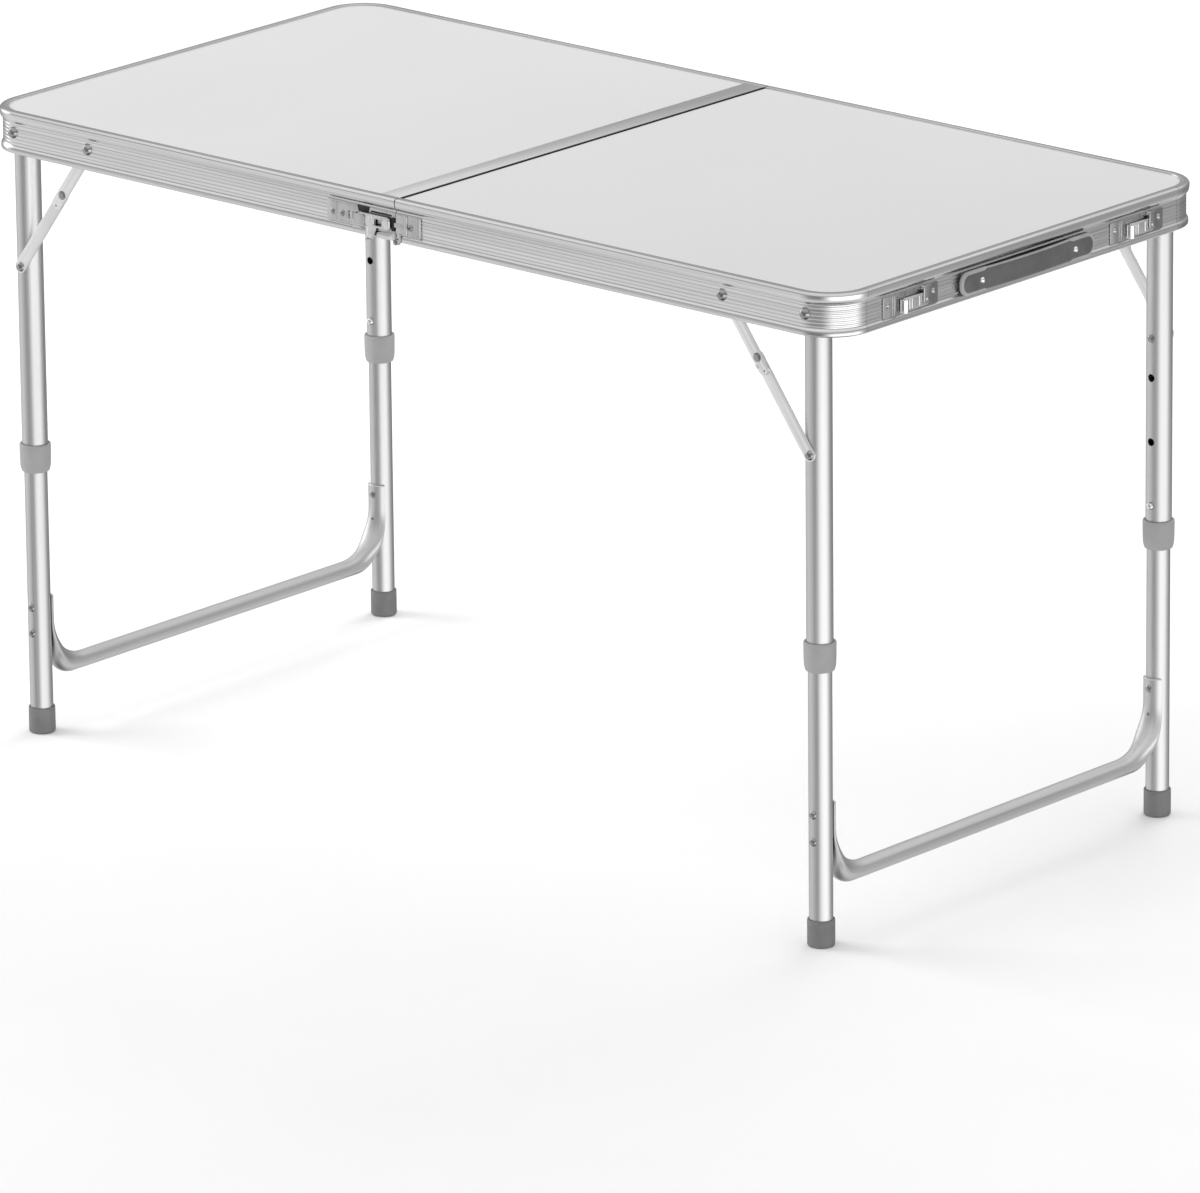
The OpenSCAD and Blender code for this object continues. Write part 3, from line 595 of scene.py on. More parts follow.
def make_collars_and_feet():
    """The collar at each upper tube's mouth and the cap under each foot."""
    r = LEG_R + 3
    low, high = COLLAR_LOW.z, COLLAR_HIGH.z
    collar = [(SHIN_R + 0.08, low + 0.4), (SHIN_R + 0.6, low), (LEG_R + 0.4, low), (LEG_R + 1.1, low + 0.5),
              (LEG_R + 1.9, low + 3.2), (LEG_R + 2.35, low + 5.2), (LEG_R + 2.6, low + 8),
              (r - 0.12, low + 16), (r, high - 5.2), (r, high - 1.3), (r - 0.35, high - 0.5),
              (r - 1.0, high - 0.1), (r - 1.6, high), (LEG_R + 0.75, high - 0.1), (LEG_R + 0.55, high - 1.2),
              (LEG_R + 0.05, high - 1.4), (LEG_R + 0.05, low + 4.1), (SHIN_R + 0.08, low + 4.1)]
    foot_r = SHIN_R + 2
    top = FOOT_HIGH.z
    foot = [(0, 0), (foot_r - 2.0, 0), (foot_r - 0.9, 0.35), (foot_r - 0.25, 1.2), (foot_r, 2.6),
            (foot_r, top - 4.2), (foot_r, top - 1.1), (foot_r - 0.3, top - 0.35), (foot_r - 0.9, top),
            (SHIN_R + 0.7, top), (SHIN_R + 0.5, top - 0.9), (SHIN_R + 0.02, top - 1.1),
            (SHIN_R + 0.02, 4), (0, 4)]
    for side, sx in SIDES:
        both = flipped_pair(sx)
        stand_in(f"collars_{side}", [lathe(collar, AT_LEG, 80, closed=True)], collar_plastic,
                 f"upper_legs_{side}", "collar", flips=both)
        stand_in(f"feet_{side}", [lathe(foot, AT_LEG, 80)], foot_plastic, f"lower_legs_{side}", "foot",
                 flips=both)


def bar_ring(inner, outer, press, count=40):
    """One ring of the crossbar between its inner and outer lines, in the plane of Y and Z.

    press runs from 0, a round tube, to 1, pressed flat and cupped round the leg.
    """
    (yi, zi), (yo, zo) = inner, outer
    middle = ((yi + yo) / 2, (zi + zo) / 2)
    half = math.dist(inner, outer) / 2
    out = ((yo - yi) / (2 * half), (zo - zi) / (2 * half))
    hug = SHIN_R + CLEAR
    spread = math.radians(57)
    ring, grain = [], []
    for k in range(count):
        a = math.tau * k / count
        cos_a, sin_a = math.cos(a), math.sin(a)
        round_x, round_n = BAR_R * cos_a, half * sin_a
        swing = spread * cos_a
        side = math.copysign(abs(sin_a) ** 0.45, sin_a)
        radius = hug + half - half * side
        flat_x = radius * math.sin(swing)
        flat_n = hug + half - radius * math.cos(swing)
        x = round_x + (flat_x - round_x) * press
        n = round_n + (flat_n - round_n) * press
        ring.append((LEG_X + x, -(middle[0] + n * out[0]), middle[1] + n * out[1]))
        grain.append((BAR_R * cos_a, BAR_R * sin_a))
    return ring, grain


def crossbar_half():
    """Half of a crossbar: level tube, bend, and an upright end pressed against the leg."""
    level_z = BAR_LOW.z + BAR_R
    inner_r, outer_r, thick = 50.0, 33.0, 3.0
    face = LEG_Y - SHIN_R - CLEAR
    cy, cz = face - thick - inner_r, level_z + BAR_R + inner_r
    oy, oz = face - outer_r, level_z - BAR_R + outer_r
    pairs = [((y, cz - inner_r), (y, level_z - BAR_R), 0.0) for y in (0.0, cy / 3, cy * 2 / 3, cy - 8)]
    turns = 30
    for k in range(turns + 1):
        a = math.radians(90 - 90 * k / turns)
        ray = (math.cos(a), -math.sin(a))
        to_wall = (face - cy) / ray[0] if ray[0] > 1e-6 else math.inf
        to_floor = (level_z - BAR_R - cz) / ray[1] if ray[1] < -1e-6 else math.inf
        along = (oy - cy) * ray[0] + (oz - cz) * ray[1]
        aside = abs((oy - cy) * ray[1] - (oz - cz) * ray[0])
        reach = min(to_wall, to_floor)
        if aside < outer_r and cy + reach * ray[0] > oy and cz + reach * ray[1] < oz:
            reach = along + math.sqrt(outer_r ** 2 - aside ** 2)
        share = k / turns
        press = min(1.0, max(0.0, (share - 0.25) / 0.70))
        press = press * press * (3 - 2 * press)
        pairs.append(((cy + inner_r * ray[0], cz + inner_r * ray[1]),
                      (cy + reach * ray[0], cz + reach * ray[1]), press))
    top = BAR_HIGH.z
    for share in (0.25, 0.5, 0.75, 0.97):
        z = cz + (top - cz) * share
        pairs.append(((face - thick, z), (face, z), 1.0))
    pairs.append(((face - thick + 0.7, top), (face - 0.5, top), 1.0))
    rings, grain, run = [], [], 0.0
    for i, (inner, outer, press) in enumerate(pairs):
        ring, local = bar_ring(inner, outer, press)
        if i:
            run += math.dist(inner, pairs[i - 1][0])
        rings.append(ring)
        grain.append([(u, v, run) for u, v in local])
    return loft(rings, grain)


def make_crossbars():
    """Both crossbars, and the two rivets that hold each end to its leg."""
    face = LEG_Y - SHIN_R - 3.0
    rivets = []
    for z in (BAR_HIGH.z - 11, BAR_HIGH.z - 40):
        rivets.append(lathe(dome(4.6, 2.6, 1.0), moved(front, LEG_X, z, LEG_Y + SHIN_R), 40))
        rivets.append(lathe(dome(4.0, 1.8, 0.6), inwards(LEG_X, z, face), 40))
        rivets.append(pin(LEG_X, z, face, LEG_Y + SHIN_R, 2.4))
    for side, sx in SIDES:
        both = flipped_pair(sx)
        bar = stand_in(f"crossbar_{side}", [crossbar_half()], tube_metal, f"lower_legs_{side}", "tube",
                       flips=both)
        merge_seams(bar)
        stand_in(f"crossbar_rivets_{side}", rivets, rivet_metal, f"lower_legs_{side}", "rivet", flips=both)


def merge_seams(obj):
    """Joins the two halves of a flipped piece where they meet and drops the walls between them."""
    bm = bmesh.new()
    bm.from_mesh(obj.data)
    middle = [f for f in bm.faces if all(abs(v.co.y) < 1e-6 for v in f.verts)]
    bmesh.ops.delete(bm, geom=middle, context="FACES_ONLY")
    bmesh.ops.remove_doubles(bm, verts=bm.verts, dist=1e-6)
    bmesh.ops.recalc_face_normals(bm, faces=bm.faces)
    bm.to_mesh(obj.data)
    bm.free()


def make_buttons():
    """A round-ended height button in each upper tube's lowest hole."""
    base = LEG_R - TUBE_WALL + 0.1
    profile = [(0, 0), (3.9, 0), (3.95, 2.6), (3.7, 3.5), (3.1, 4.2), (2.2, 4.7), (1.2, 4.95), (0, 5.0)]
    button = lathe(profile, inwards(LEG_X, BUTTON_Z, LEG_Y - base), 36)
    for side, sx in SIDES:
        for row, sy in ROWS:
            stand_in(f"snap_button_{row}_{side}", [button], bright, f"button_{row}_{side}", "lever",
                     flips=((sx, sy),))


# ---- rivets in the rim and the legs ----

def make_rim_rivets():
    """Rivets of the leg pivots, with their shoulders, and of both ends of the braces."""
    head = dome(6.4, 4.2, 1.8)
    leg = [lathe(head, moved(front, LEG_X, PIVOT_Z, RIB_OUT - 0.2), 48),
           pin(LEG_X, PIVOT_Z, LEG_Y + LEG_R + 0.4, WEB_IN - 1.6, 6, 40),
           pin(LEG_X, PIVOT_Z, LEG_Y - LEG_R - 2, RIB_OUT, 3),
           lathe([(0, -2.4), (3.6, -2.4), (4.7, -1.9), (5, -1.2), (5, 0), (0, 0)],
                 moved(front, LEG_X, PIVOT_Z, LEG_Y - LEG_R - 0.3), 40)]
    rail = [lathe(head, moved(front, BRACE_RAIL_X, PIVOT_Z, RIB_OUT - 0.2), 48),
            pin(BRACE_RAIL_X, PIVOT_Z, LEG_Y + LEG_R + 2.1, RIB_OUT, 3)]
    knee = [lathe(dome(5.4, 2.9, 0.2), moved(front, LEG_X, BRACE_LEG_Z, LEG_Y + LEG_R + 1.85), 44),
            pin(LEG_X, BRACE_LEG_Z, LEG_Y - LEG_R - 1, LEG_Y + LEG_R + 2, 3),
            lathe(dome(4.5, 1.9, 0.4), inwards(LEG_X, BRACE_LEG_Z, LEG_Y - LEG_R), 40)]
    for side, sx in SIDES:
        both = flipped_pair(sx)
        stand_in(f"leg_pivot_rivets_{side}", leg, rivet_metal, f"top_{side}", "rivet", flips=both)
        stand_in(f"brace_rail_rivets_{side}", rail, rivet_metal, f"top_{side}", "rivet", flips=both)
        stand_in(f"brace_leg_rivets_{side}", knee, rivet_metal, f"upper_legs_{side}", "rivet", flips=both)


# ---- braces ----

def link_place(x, z, angle):
    """A link drawn along u from its pivot, turned in the plane of the rail."""
    c, s = math.cos(angle), math.sin(angle)
    return lambda u, v, w: front(x + u * c - v * s, z + u * s + v * c, w)


def link_solid(length, tail, depth, place, holes):
    """A flat link with round ends, from its pivot to a tail past its far hole."""
    outline = arc(0, 0, LINK_HALF, 90, 270, 16) + arc(length + tail, 0, LINK_HALF, -90, 90, 16)
    loops = [outline] + [circle(u, 0, r, 20) for u, r in holes]
    return plate(loops, depth, depth + LINK_THICK, 0.35, place, 3)


def make_braces():
    """Two-link braces: the upper link has a tail with a stop past the elbow, where it lies on the lower."""
    across, down = LEG_X - BRACE_RAIL_X, PIVOT_Z - BRACE_LEG_Z
    angle = math.atan2(down, across)
    span, folded = math.hypot(across, down), down - across
    lower_length, upper_length = (span + folded) / 2, (span - folded) / 2
    inner = LEG_Y + LEG_R + 0.3
    outer = inner + 1.7
    at_rail = link_place(BRACE_RAIL_X, PIVOT_Z, -angle)
    at_leg_pivot = link_place(LEG_X, BRACE_LEG_Z, math.pi - angle)
    bore, pinhole = (0, 3.05), (upper_length + 16, 1.1)
    upper = link_solid(upper_length, 20 - LINK_HALF, outer, at_rail, (bore, pinhole))
    lower = link_solid(lower_length, 0, inner, at_leg_pivot, (bore,))
    elbow = lathe(dome(4.9, 1.15, 0.4), moved(at_rail, upper_length, 0, outer + LINK_THICK), 40)
    stop = plate([rectangle(upper_length + 5.5, -7.6, upper_length + 10, -4.4, 0.6)],
                 outer + 1.2, outer + 2.2, 0.4, at_rail)
    for side, sx in SIDES:
        both = flipped_pair(sx)
        stand_in(f"brace_uppers_{side}", [upper, stop], zinc, f"upper_links_{side}", "brace", flips=both)
        stand_in(f"brace_lowers_{side}", [lower], zinc, f"lower_links_{side}", "brace", flips=both)
        stand_in(f"brace_elbow_rivets_{side}", [elbow], rivet_metal, f"upper_links_{side}", "rivet",
                 flips=both)


# ---- centre locks ----

def make_lock_plates():
    """Pressed plates with a recess for the lever, a raised pad by the seam, and their rivets."""
    low, high, mid = FITTING_LOW, FITTING_HIGH, LEVER_Z
    inner, outer = RIB_OUT, RIB_OUT + PLATE_THICK
    lug_in, lug_out, lug_r, bore_r = outer + 0.2, outer + 1.4, 3.4, 2.05
    left_end, right_end, tongue_end, catch_x = -97, 35, -22, -20
    recess, mouth, mouth_half, ribs = (-54, -36), -5, 6.8, -80
    cover_x, pin_top = (-55.5, -40), HALF_WIDTH + 3.2
    outline = rounded([(left_end, low), (-SEAM, low), (-SEAM, mid - mouth_half), (mouth, mid - mouth_half),
                       (mouth, mid + mouth_half), (-SEAM, mid + mouth_half), (-SEAM, high), (recess[1], high),
                       (recess[1] - 2, high - 6.8), (recess[0] + 2, high - 6.8), (recess[0], high),
                       (left_end, high)], [1.6, 0.2, 0.5, 1.2, 1.2, 0.5, 0.2, 1, 1, 1, 1, 1.6], 4)
    slots = [rectangle(x, mid - 4, x + 3, mid + 4, 0.8) for x in (-67, -60.5)]
    lug = [circle(0, RIM_LOW, lug_r, 32), circle(0, RIM_LOW, bore_r, 24)]

    def raised(u0, v0, u1, v1, r, rise, bevel, steps=3):
        """A pressed-out patch on a plate."""
        return slab(u0, v0, u1, v1, r, outer - 0.3, outer + rise, bevel, steps)

    left = [plate([outline] + slots, inner, outer, 0.35, front, 3),
            plate(lug, inner, outer, 0.25),
            slab(-5.5, RIM_LOW + 3.4, -0.1, low + 1, 0.3, inner + 0.02, outer - 0.02, 0.25),
            raised(left_end + 2, low + 1.6, -81.5, high - 1.6, 1.6, 0.45, 0.4),
            raised(ribs, high - 2.9, -56, high - 1.5, 0.6, 0.55, 0.5),
            raised(ribs, low + 1.5, -42, low + 2.9, 0.6, 0.55, 0.5),
            raised(-33, high - 3.0, -12, high - 0.2, 1.2, 1.0, 0.7),
            lathe([(0, outer - 0.4), (4.5, outer - 0.4), (4.5, HALF_WIDTH - 0.1), (4.1, HALF_WIDTH + 0.2),
                   (0, HALF_WIDTH + 0.2)], moved(front, LEVER_X, mid), 32)]
    right = [slab(SEAM, low, right_end, high, 1.4, inner, outer, 0.35, 3),
             raised(0.7, low + 1.4, 16.2, high - 0.8, 1.4, 1.0, 0.6),
             raised(13.2, low + 0.8, 16.4, high - 0.2, 1.4, 1.9, 0.8, 4),
             slab(4.6, RIM_LOW + 0.4, 8, RIM_LOW + 10, 1.0, inner, lug_out, 0.4),
             plate(lug, lug_in, lug_out, 0.3),
             slab(2.2, RIM_LOW - 0.6, 6, RIM_LOW + 3.4, 0.6, lug_in + 0.02, lug_out - 0.02, 0.3),
             slab(tongue_end, mid - 2.5, 14, mid + 2.5, 0.9, lug_in, lug_out, 0.35, 3),
             lathe([(0, lug_out - 0.2), (1.8, lug_out - 0.2), (1.8, lug_out + 0.1), (1.4, lug_out + 0.3),
                    (0, lug_out + 0.3)], moved(front, catch_x, mid), 24)]
    right += [raised(x, low + 0.7, x + 1.5, high - 0.7, 0.7, 0.8, 0.65) for x in (28.6, 32.6)]
    small = dome(3.3, 1.7, 0.6)
    left_rivets = [lathe(small, moved(front, x, mid, outer + 0.2), 32) for x in (-88, -75)]
    ring = [(0, -0.5), (3.4, -0.5), (3.4, 0.4), (2.9, 1.2), (2.1, 1.6), (1.5, 1.3), (1.3, 0.2), (0, 0.2)]
    right_rivets = [lathe(ring, moved(front, 20.5, mid, outer), 32)]
    # Painted shade: black blocks behind the seam mouth and behind the recess, and a thin black strip between
    # the raised pad and the lever's flange, where these gaps lie in shade.
    dark = [slab(-5.6, mid - 7.4, -0.6, mid + 7.4, 0.3, inner - 0.4, outer - 0.5, 0.1),
            slab(recess[0], high - 7.4, recess[1], high - 0.2, 0.3, inner - 0.4, outer - 0.7, 0.1),
            slab(-35, high - 4.9, -5.4, high - 3.2, 0.6, outer - 0.4, outer + 0.15, 0.1)]
    cover = [slab(cover_x[0], mid - 6.8, cover_x[1], mid + 5.0, 2.4, pin_top - 0.9, pin_top + 0.1, 0.5, 4),
             slab(cover_x[0], mid - 6.8, cover_x[0] + 1.9, mid + 5.0, 0.5, outer - 0.2, pin_top, 0.5, 4)]
    # Painted shade: a black block in front of the seam mouth, standing for the shade of the gap.
    seam_gap_shade_block = slab(-5.4, mid - 7.2, -0.9, mid + 7.2, 1.8, lug_in, lug_out + 0.15, 0.3)
    pins = [pin(0, RIM_LOW, WEB_IN + 0.5, lug_out + 0.3, PIN_R),
            pin(0, RIM_LOW, WEB_IN + 0.5, inner - 0.3, 3.6),
            lathe(dome(2.6, 0.8, 0.2), moved(front, 0, RIM_LOW, lug_out + 0.3), 32),
            pin(LEVER_X, mid, inner, pin_top, PIN_R)]
    for row, sy in ROWS:
        stand_in(f"lock_plate_{row}_left", left, lock_metal, "top_left", "lock", flips=((1, sy),))
        stand_in(f"lock_plate_{row}_right", right, lock_metal, "top_right", "lock", flips=((1, sy),))
    build("lock_covers_look", cover, lock_metal, "top_left", "lock", (), BOTH)
    build("lock_gap_shade_look", dark, gap_shade_black, "top_left", "lock", (), BOTH)
    build("lock_seam_gap_shade_look", [seam_gap_shade_block], gap_shade_black, "top_right", "lock", (), BOTH)
    stand_in("lock_plate_rivets_left", left_rivets, rivet_metal, "top_left", "rivet", flips=BOTH)
    stand_in("lock_plate_rivets_right", right_rivets, rivet_metal, "top_right", "rivet", flips=BOTH)
    stand_in("hinge_pins", pins, rivet_metal, "top_left", "rivet", flips=BOTH)


def make_levers():
    """The sprung lever of a centre lock: arm with a flange, boxed end with an eye, tapered finger tab."""
    inner, outer, mid = HALF_WIDTH + 0.3, HALF_WIDTH + 2.1, LEVER_Z
    nose, tab, tab_low, half = -7, (-39, -32), RIM_LOW - 3.2, 5.8
    eye = rectangle(-26.5, mid - 3.7, -14.5, mid + 3.7, 1.1)
    arm = (arc(LEVER_X, mid, 6.2, 90, 255, 14)
           + [(tab[0], mid - half), (tab[0], tab_low + 1), (tab[0] + 1.2, tab_low), (tab[1], tab_low),
              (-30.4, tab_low + 1.6), (-25.6, RIM_LOW + 9), (-24.8, mid - half), (nose, mid - half),
              (nose, mid + half), (-32, mid + 6.2)])
    box = rectangle(-31, mid - 6.4, nose + 2.4, mid + 6.4, 3.0, 6)
    rim = rectangle(-28.4, mid - 5.0, -12.6, mid + 5.0, 1.8, 5)
    solids = [plate([arm, eye], inner, outer, 0.5, front, 4),
              plate([box, eye], inner + 0.01, outer + 2.0, 1.3, front, 6),
              plate([rim, eye], outer + 1.8, outer + 2.5, 0.4, front, 3),
              slab(-45, mid + 5.2, nose - 1, mid + 7.2, 0.9, inner, outer + 1.4, 0.8, 4),
              slab(tab[0], RIM_LOW - 4, -31.6, RIM_LOW - 1.6, 1.0, inner, outer + 2.2, 0.9, 5),
              slab(-38.6, RIM_LOW - 1, -36.6, mid - 6, 0.8, outer - 0.4, outer + 0.9, 0.7, 4)]
    for row, sy in ROWS:
        stand_in(f"lock_lever_{row}", solids, lever_metal, f"lever_{row}", "lever", flips=((1, sy),))


# ---- end fittings ----

LATCH_Y = 182
LATCH_HALF = 43


def latch_pivot(centre):
    """Both latches point the same way, so each pivot lies at the same distance from its plate's centre."""
    return centre + LATCH_Y - ARM_Y


def make_latch_bases():
    """Base plates on the right end, each with a bracket over the arm's pivot, two rivets and two ribs."""
    low, high = FITTING_LOW, FITTING_HIGH
    inner, outer = HALF_LENGTH - 3, HALF_LENGTH - 1.6
    bracket, foot = HALF_LENGTH + 3.3, HALF_LENGTH - 0.7
    small = dome(3.4, 2.2, 0.6)
    bases = []
    for centre in (-LATCH_Y, LATCH_Y):
        pivot, start = latch_pivot(centre), centre - LATCH_HALF
        left, right = pivot - 5.5, pivot + 6.5
        bases += [slab(start, low, centre + LATCH_HALF, high, 2, inner, outer, 0.35, 3, end),
                  slab(left, ARM_Z - 5, right, high + 0.4, 2.6, bracket - 1.6, bracket, 0.7, 4, end),
                  slab(left, high - 5, right, high + 0.4, 2.0, outer - 0.2, bracket - 0.1, 0.9, 4, end),
                  lathe([(0, outer - 0.3), (3.5, outer - 0.3), (3.5, foot), (2.5, foot), (2.5, bracket - 1.3),
                         (0, bracket - 1.3)], moved(end, pivot, ARM_Z), 32),
                  lathe(dome(2.9, 1.2, 0.4), moved(end, pivot, ARM_Z, bracket - 0.2), 28),
                  lathe(small, moved(end, pivot + 14.5, ARM_Z + 4, outer), 32),
                  lathe(small, moved(end, start + 7, ARM_Z + 4, outer), 32)]
        bases += [slab(start + gap, low + 0.8, start + gap + 1.6, high - 0.8, 0.7, outer - 0.3, outer + 0.7,
                       0.6, 3, end) for gap in (13, 16.6)]
    stand_in("latch_bases", bases, plate_metal, "top_right", "lock")


def make_latch_arms():
    """Swivel arms with a notch for the stud, a rolled end, a flange and pressed ribs."""
    inner, outer = HALF_LENGTH - 0.6, HALF_LENGTH + 1.4
    tall, notch, roll = 7.2, (-32.8, -27.2), -36.6
    outline = (arc(0, 0, tall, -90, 90, 16)
               + [(-36, tall), (-36, -tall), (notch[0], -tall), (notch[0], 2), (notch[1], 2),
                  (notch[1], -tall)])
    curl = arc(roll, 4.0, 4.6, -90, -300, 24) + arc(roll, 4.0, 2.8, -300, -90, 20)
    for row, side in ROWS:
        pivot = latch_pivot(-side * LATCH_Y)
        here = moved(end, pivot, ARM_Z)
        upright = lambda u, v, w, p=pivot: (inner + v, p + u, ARM_Z + w)
        solids = [plate([outline, circle(0, 0, 2.55, 24)], inner, outer, 0.6, here, 4),
                  plate([curl], -tall, tall, 0.4, upright, 3),
                  slab(-34, tall - 1.8, -7, tall + 0.2, 0.8, inner, outer + 1.8, 0.7, 4, here)]
        solids += [slab(u, -tall + 1, u + 1.8, tall - 2, 0.8, outer - 0.3, outer + 0.5, 0.4, 4, here)
                   for u in (-26.4, -22.6, -11)]
        stand_in(f"latch_arm_{row}", solids, bright, f"arm_{row}", "lever")


def make_latch_catches():
    """Small plates on the left end with a headed stud each, for the arms when the table is folded."""
    inner, outer, stud = HALF_LENGTH - 3, HALF_LENGTH - 1.6, HALF_LENGTH + 3
    stud_z = 2 * RIM_LOW - ARM_Z + 30
    catches = []
    for centre in (-LATCH_Y, LATCH_Y):
        pivot = latch_pivot(centre)
        catches += [slab(pivot - 17, FITTING_LOW, pivot + 17, FITTING_HIGH, 2, inner, outer, 0.35, 3, end),
                    lathe([(0, outer - 0.3), (2.3, outer - 0.3), (2.3, stud - 1.2), (4, stud - 1.2),
                           (4, stud - 0.4), (3.4, stud), (0, stud)], moved(end, pivot, stud_z), 32)]
        catches += [lathe(dome(2.7, 1.4, 0.4), moved(end, y, stud_z, outer), 28)
                    for y in (pivot - 12, pivot + 12)]
    stand_in("latch_catches", catches, plate_metal, "top_left", "lock", flips=((-1, 1),))


def make_handle():
    """Two moulded caps with rounded ends, a flat bowed strap between them and two screws."""
    middle = (CAP_LOW.z + CAP_HIGH.z) / 2
    half, reach = (CAP_HIGH.z - CAP_LOW.z) / 2, CAP_HIGH.y
    mouth, screw_y = reach - 38, reach - 32
    inner, outer = HALF_LENGTH - 0.95, CAP_HIGH.x
    corner, edge, lap = half - 1.5, 3.2, mouth - 2
    cap = rounded([(lap, middle - half), (reach, middle - half), (reach, middle + half),
                   (lap, middle + half)], [0, corner, corner, 0], 12)
    border = rounded([(lap, middle - half + edge), (reach - 3.4, middle - half + edge),
                      (reach - 3.4, middle + half - edge), (lap, middle + half - edge)],
                     [0, corner - 2.4, corner - 2.4, 0], 10)
    slot = slab(mouth - 3, middle - half + 1.4, mouth + 4, middle + half - 1.4, 0,
                inner + 0.3, outer - 1.6, 0, place=end)
    seat = slab(mouth, RIM_LOW + 8.2, reach - 5, middle + half - 1, 1, HALF_LENGTH - 3, inner + 0.2, 0.2,
                place=end)
    face = plate([border], outer - 1.2, outer, 0.5, end, 3)
    stand_in("handle_end_caps", [face], handle_plastic, "top_right", "handle", flips=BOTH)
    # Painted highlight: the cap body is in lighter plastic than its face, so its rounded edge shows as a
    # light border.
    build("handle_cap_highlight_look", [plate([cap], inner, outer - 0.5, 2.6, end, 8)], handle_highlight_plastic, "top_right",
          "handle", (), BOTH, [slot])
    build("handle_cap_seats_look", [seat], handle_plastic, "top_right", "handle", (), BOTH)
    bow, thick, tall = 2.6, 6.0, half - 1.0
    section = rounded([(-thick / 2, -tall), (thick / 2, -tall), (thick / 2, tall), (-thick / 2, tall)],
                      [0.6, 2.9, 2.9, 0.6], 7)
    # Painted highlight: a band of lighter plastic along the strap's top edge.
    highlight_band = rounded([(-0.6, tall - 1.8), (thick / 2 - 0.9, tall - 2.4), (thick / 2 - 1.1, tall + 0.2),
                     (-0.6, tall + 0.35)], [0.3, 0.9, 0.9, 0.3], 4)
    stations, line = 48, []
    for k in range(stations + 1):
        y = -mouth - 1 + (2 * mouth + 2) * k / stations
        share = min(1.0, abs(y) / mouth)
        line.append((inner - 1.2 + thick / 2 + bow * (1 - share * share), y))
    strap, strap_highlight = (loft([[(x + u, y, middle + v) for u, v in shape] for x, y in line],
                              [[(u, v, y) for u, v in shape] for x, y in line]) for shape in (section, highlight_band))
    stand_in("handle_strap", [strap], handle_plastic, "top_right", "handle")
    build("handle_strap_highlight_look", [strap_highlight], handle_highlight_plastic, "top_right", "handle")
    screws = [lathe(dome(3.6, 2.8, 0.6), moved(end, k * screw_y, middle, outer), 36) for k in (-1, 1)]
    stand_in("handle_screws", screws, bright, "top_right", "rivet")


def paint_kept_nodes():
    """Procedural materials for the CAD nodes that keep their own shape."""
    kept = {"panel_left": melamine, "panel_right": melamine, "seam_strip_right": strip_metal}
    kept.update({name: bright for name in ("button_springs_left", "button_springs_right")})
    for name, material in kept.items():
        slots = frame["nodes"][name].data.materials
        slots.clear()
        slots.append(material)


# ---- studio ----

def make_camera():
    """A long lens from the front right, slightly above the table's top, with a slight roll."""
    azimuth, elevation, roll = math.radians(41.57), math.radians(17.36), math.radians(0.6)
    ahead = Vector((-math.sin(azimuth) * math.cos(elevation), math.cos(azimuth) * math.cos(elevation),
                    -math.sin(elevation)))
    right = ahead.cross(Vector((0, 0, 1))).normalized()
    down = ahead.cross(right)
    right_rolled = math.cos(roll) * right + math.sin(roll) * down
    down_rolled = -math.sin(roll) * right + math.cos(roll) * down
    data = bpy.data.cameras.new("camera")
    data.lens = 338.3
    data.sensor_width = 36
    data.clip_end = 100
    camera = bpy.data.objects.new("camera", data)
    turn = Matrix((right_rolled, -down_rolled, -ahead)).transposed().to_4x4()
    camera.matrix_world = Matrix.Translation((7.636, -8.595, 3.791)) @ turn
    bpy.context.scene.collection.objects.link(camera)
    bpy.context.scene.camera = camera


def make_floor():
    """A plain pale floor that catches the table's soft shadows."""
    material, nodes, shader = new_material("studio_floor")
    source = nodes.add("ShaderNodeTexCoord").outputs["Object"]
    speckle = nodes.noise(source, 3.0, 2.0)
    nodes.link(nodes.ramp([(0.3, 0.975), (0.7, 0.99)], speckle), shader.inputs["Base Color"])
    shader.inputs["Roughness"].default_value = 0.9
    shader.inputs["Specular IOR Level"].default_value = 0.1
    reach = 40.0
    mesh = bpy.data.meshes.new("studio_floor")
    mesh.from_pydata([(-reach, -reach, 0), (reach, -reach, 0), (reach, reach, 0), (-reach, reach, 0)],
                     [], [(0, 1, 2, 3)])
    floor = bpy.data.objects.new("studio_floor", mesh)
    mesh.materials.append(material)
    bpy.context.scene.collection.objects.link(floor)
    floor.visible_glossy = False


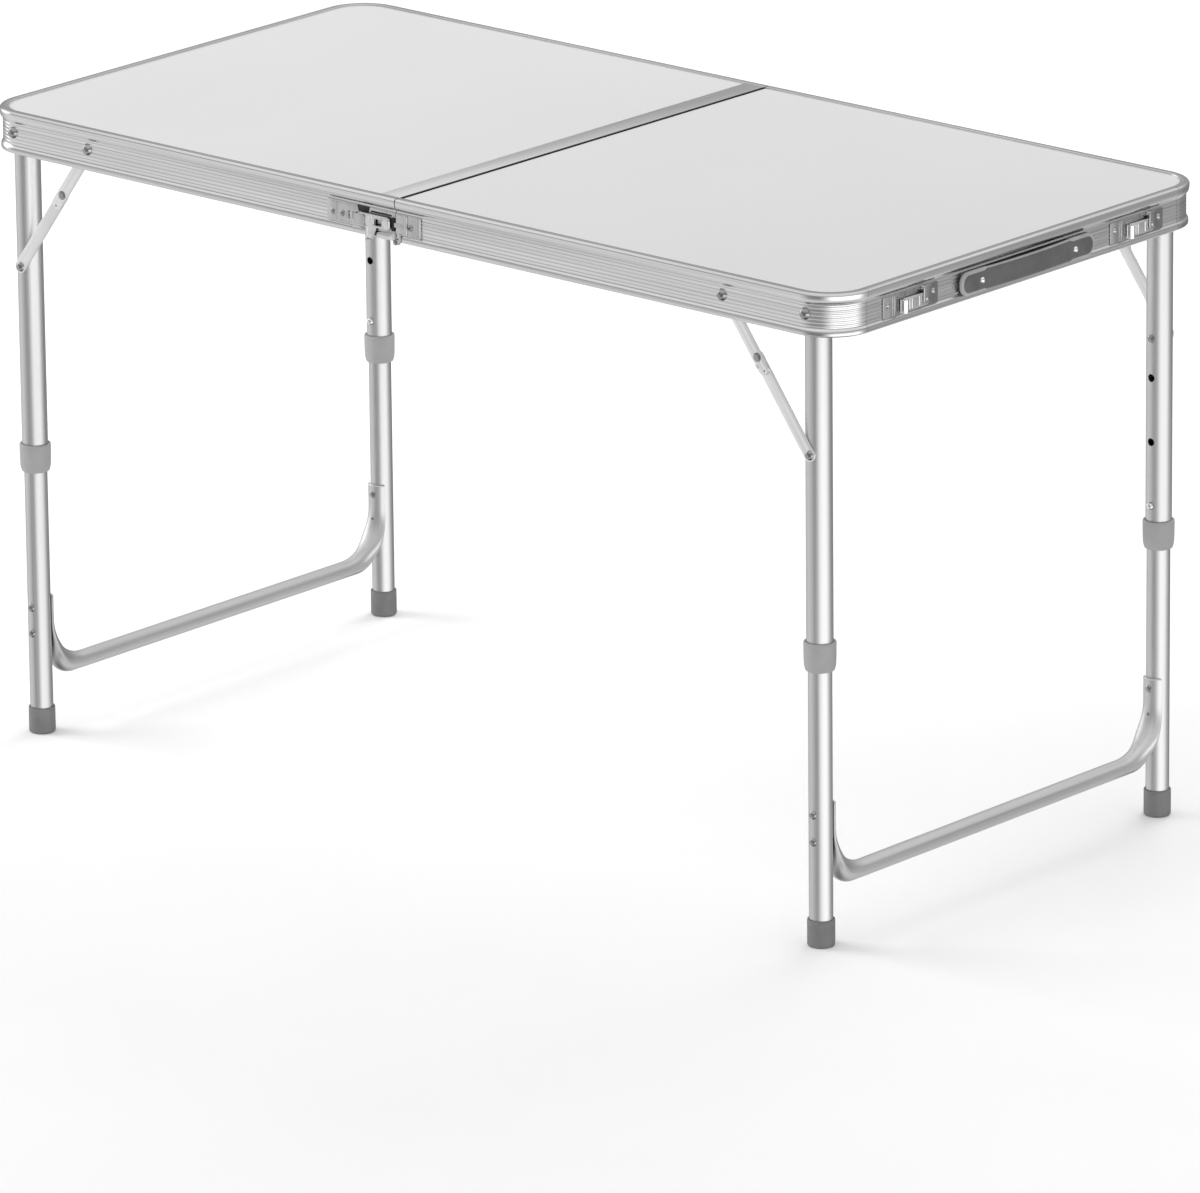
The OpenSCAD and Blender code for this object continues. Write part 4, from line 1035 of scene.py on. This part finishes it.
def make_world():
    """Even pale light all round; what the metal mirrors is a ring of pale and dark panels."""
    world = bpy.data.worlds.new("studio")
    bpy.context.scene.world = world
    world.use_nodes = True
    world.node_tree.nodes.clear()
    nodes = Nodes(world.node_tree)
    direction = nodes.add("ShaderNodeTexCoord").outputs["Generated"]
    split = nodes.add("ShaderNodeSeparateXYZ")
    nodes.link(direction, split.inputs["Vector"])
    turn = nodes.math("ARCTAN2", split.outputs["Y"], split.outputs["X"])
    share = nodes.span(turn, -math.pi, math.pi, 0, 1)
    bearings = [(-180, 0.62), (-160, 0.86), (-131, 0.82), (-118, 0.66), (-102, 0.28), (-72, 0.22),
                (-58, 0.84), (-46, 1.8), (18, 1.8), (37, 0.46), (50, 0.42), (66, 0.24), (90, 0.24),
                (122, 0.20), (150, 0.24), (166, 0.52)]
    ring = nodes.ramp([((b + 180) / 360, v) for b, v in bearings], share)
    upper = nodes.ramp([(0.0, 0.40), (0.30, 0.35), (0.55, 0.85), (1.0, 0.95)], split.outputs["Z"])
    lower = nodes.ramp([(0.0, 0.10), (0.06, 0.12), (0.17, 0.72), (0.5, 0.78), (1.0, 0.70)],
                       nodes.span(split.outputs["Z"], -1, 0, 0, 1))
    rise = nodes.span(split.outputs["Z"], -0.12, 0.12, 0, 1)
    sink = nodes.span(split.outputs["Z"], -0.38, -0.62, 0, 1)
    pattern = nodes.mix(sink, nodes.mix(rise, ring, upper), lower)
    window = nodes.add("ShaderNodeVectorMath", operation="DOT_PRODUCT")
    nodes.link(direction, window.inputs[0])
    window.inputs[1].default_value = (-0.962, -0.135, 0.235)
    glint = nodes.span(window.outputs["Value"], 0.92, 0.985, 1, 5)
    mirrored = nodes.add("ShaderNodeBackground")
    nodes.link(pattern, mirrored.inputs["Color"])
    nodes.link(glint, mirrored.inputs["Strength"])
    even = nodes.add("ShaderNodeBackground", Color=(1, 1, 1, 1), Strength=0.78)
    path = nodes.add("ShaderNodeLightPath")
    choice = nodes.add("ShaderNodeMixShader")
    nodes.link(path.outputs["Is Glossy Ray"], choice.inputs["Fac"])
    nodes.link(even.outputs["Background"], choice.inputs[1])
    nodes.link(mirrored.outputs["Background"], choice.inputs[2])
    output = nodes.add("ShaderNodeOutputWorld")
    nodes.link(choice.outputs["Shader"], output.inputs["Surface"])


def make_lights():
    """Soft boxes: a large key from the front left and a wide one high behind."""
    lamps = (("key", (-3.4, -1.6, 2.6), 2.2, 70), ("back", (-0.5, 3.4, 3.0), 2.6, 60))
    for name, place, size, power in lamps:
        data = bpy.data.lights.new(name, "AREA")
        data.shape = "SQUARE"
        data.size = size
        data.energy = power
        lamp = bpy.data.objects.new(name, data)
        lamp.visible_glossy = False
        lamp.location = place
        aim = Vector((0, 0, 0.5)) - Vector(place)
        lamp.rotation_euler = aim.to_track_quat("-Z", "Y").to_euler()
        bpy.context.scene.collection.objects.link(lamp)


make_camera()
make_floor()
make_world()
make_lights()
make_rails()
make_seam_strips()
make_leg_tubes("upper", LEG_R, LEG_LOW.z, LEG_HIGH.z, 4.25, [BUTTON_Z + HOLE_STEP * k for k in range(3)])
make_leg_tubes("lower", SHIN_R, SHIN_LOW.z, SHIN_HIGH.z, 4.8, [BUTTON_Z])
make_collars_and_feet()
make_crossbars()
make_buttons()
make_rim_rivets()
make_braces()
make_lock_plates()
make_levers()
make_latch_bases()
make_latch_arms()
make_latch_catches()
make_handle()
paint_kept_nodes()

bpy.context.scene.view_settings.view_transform = "Standard"
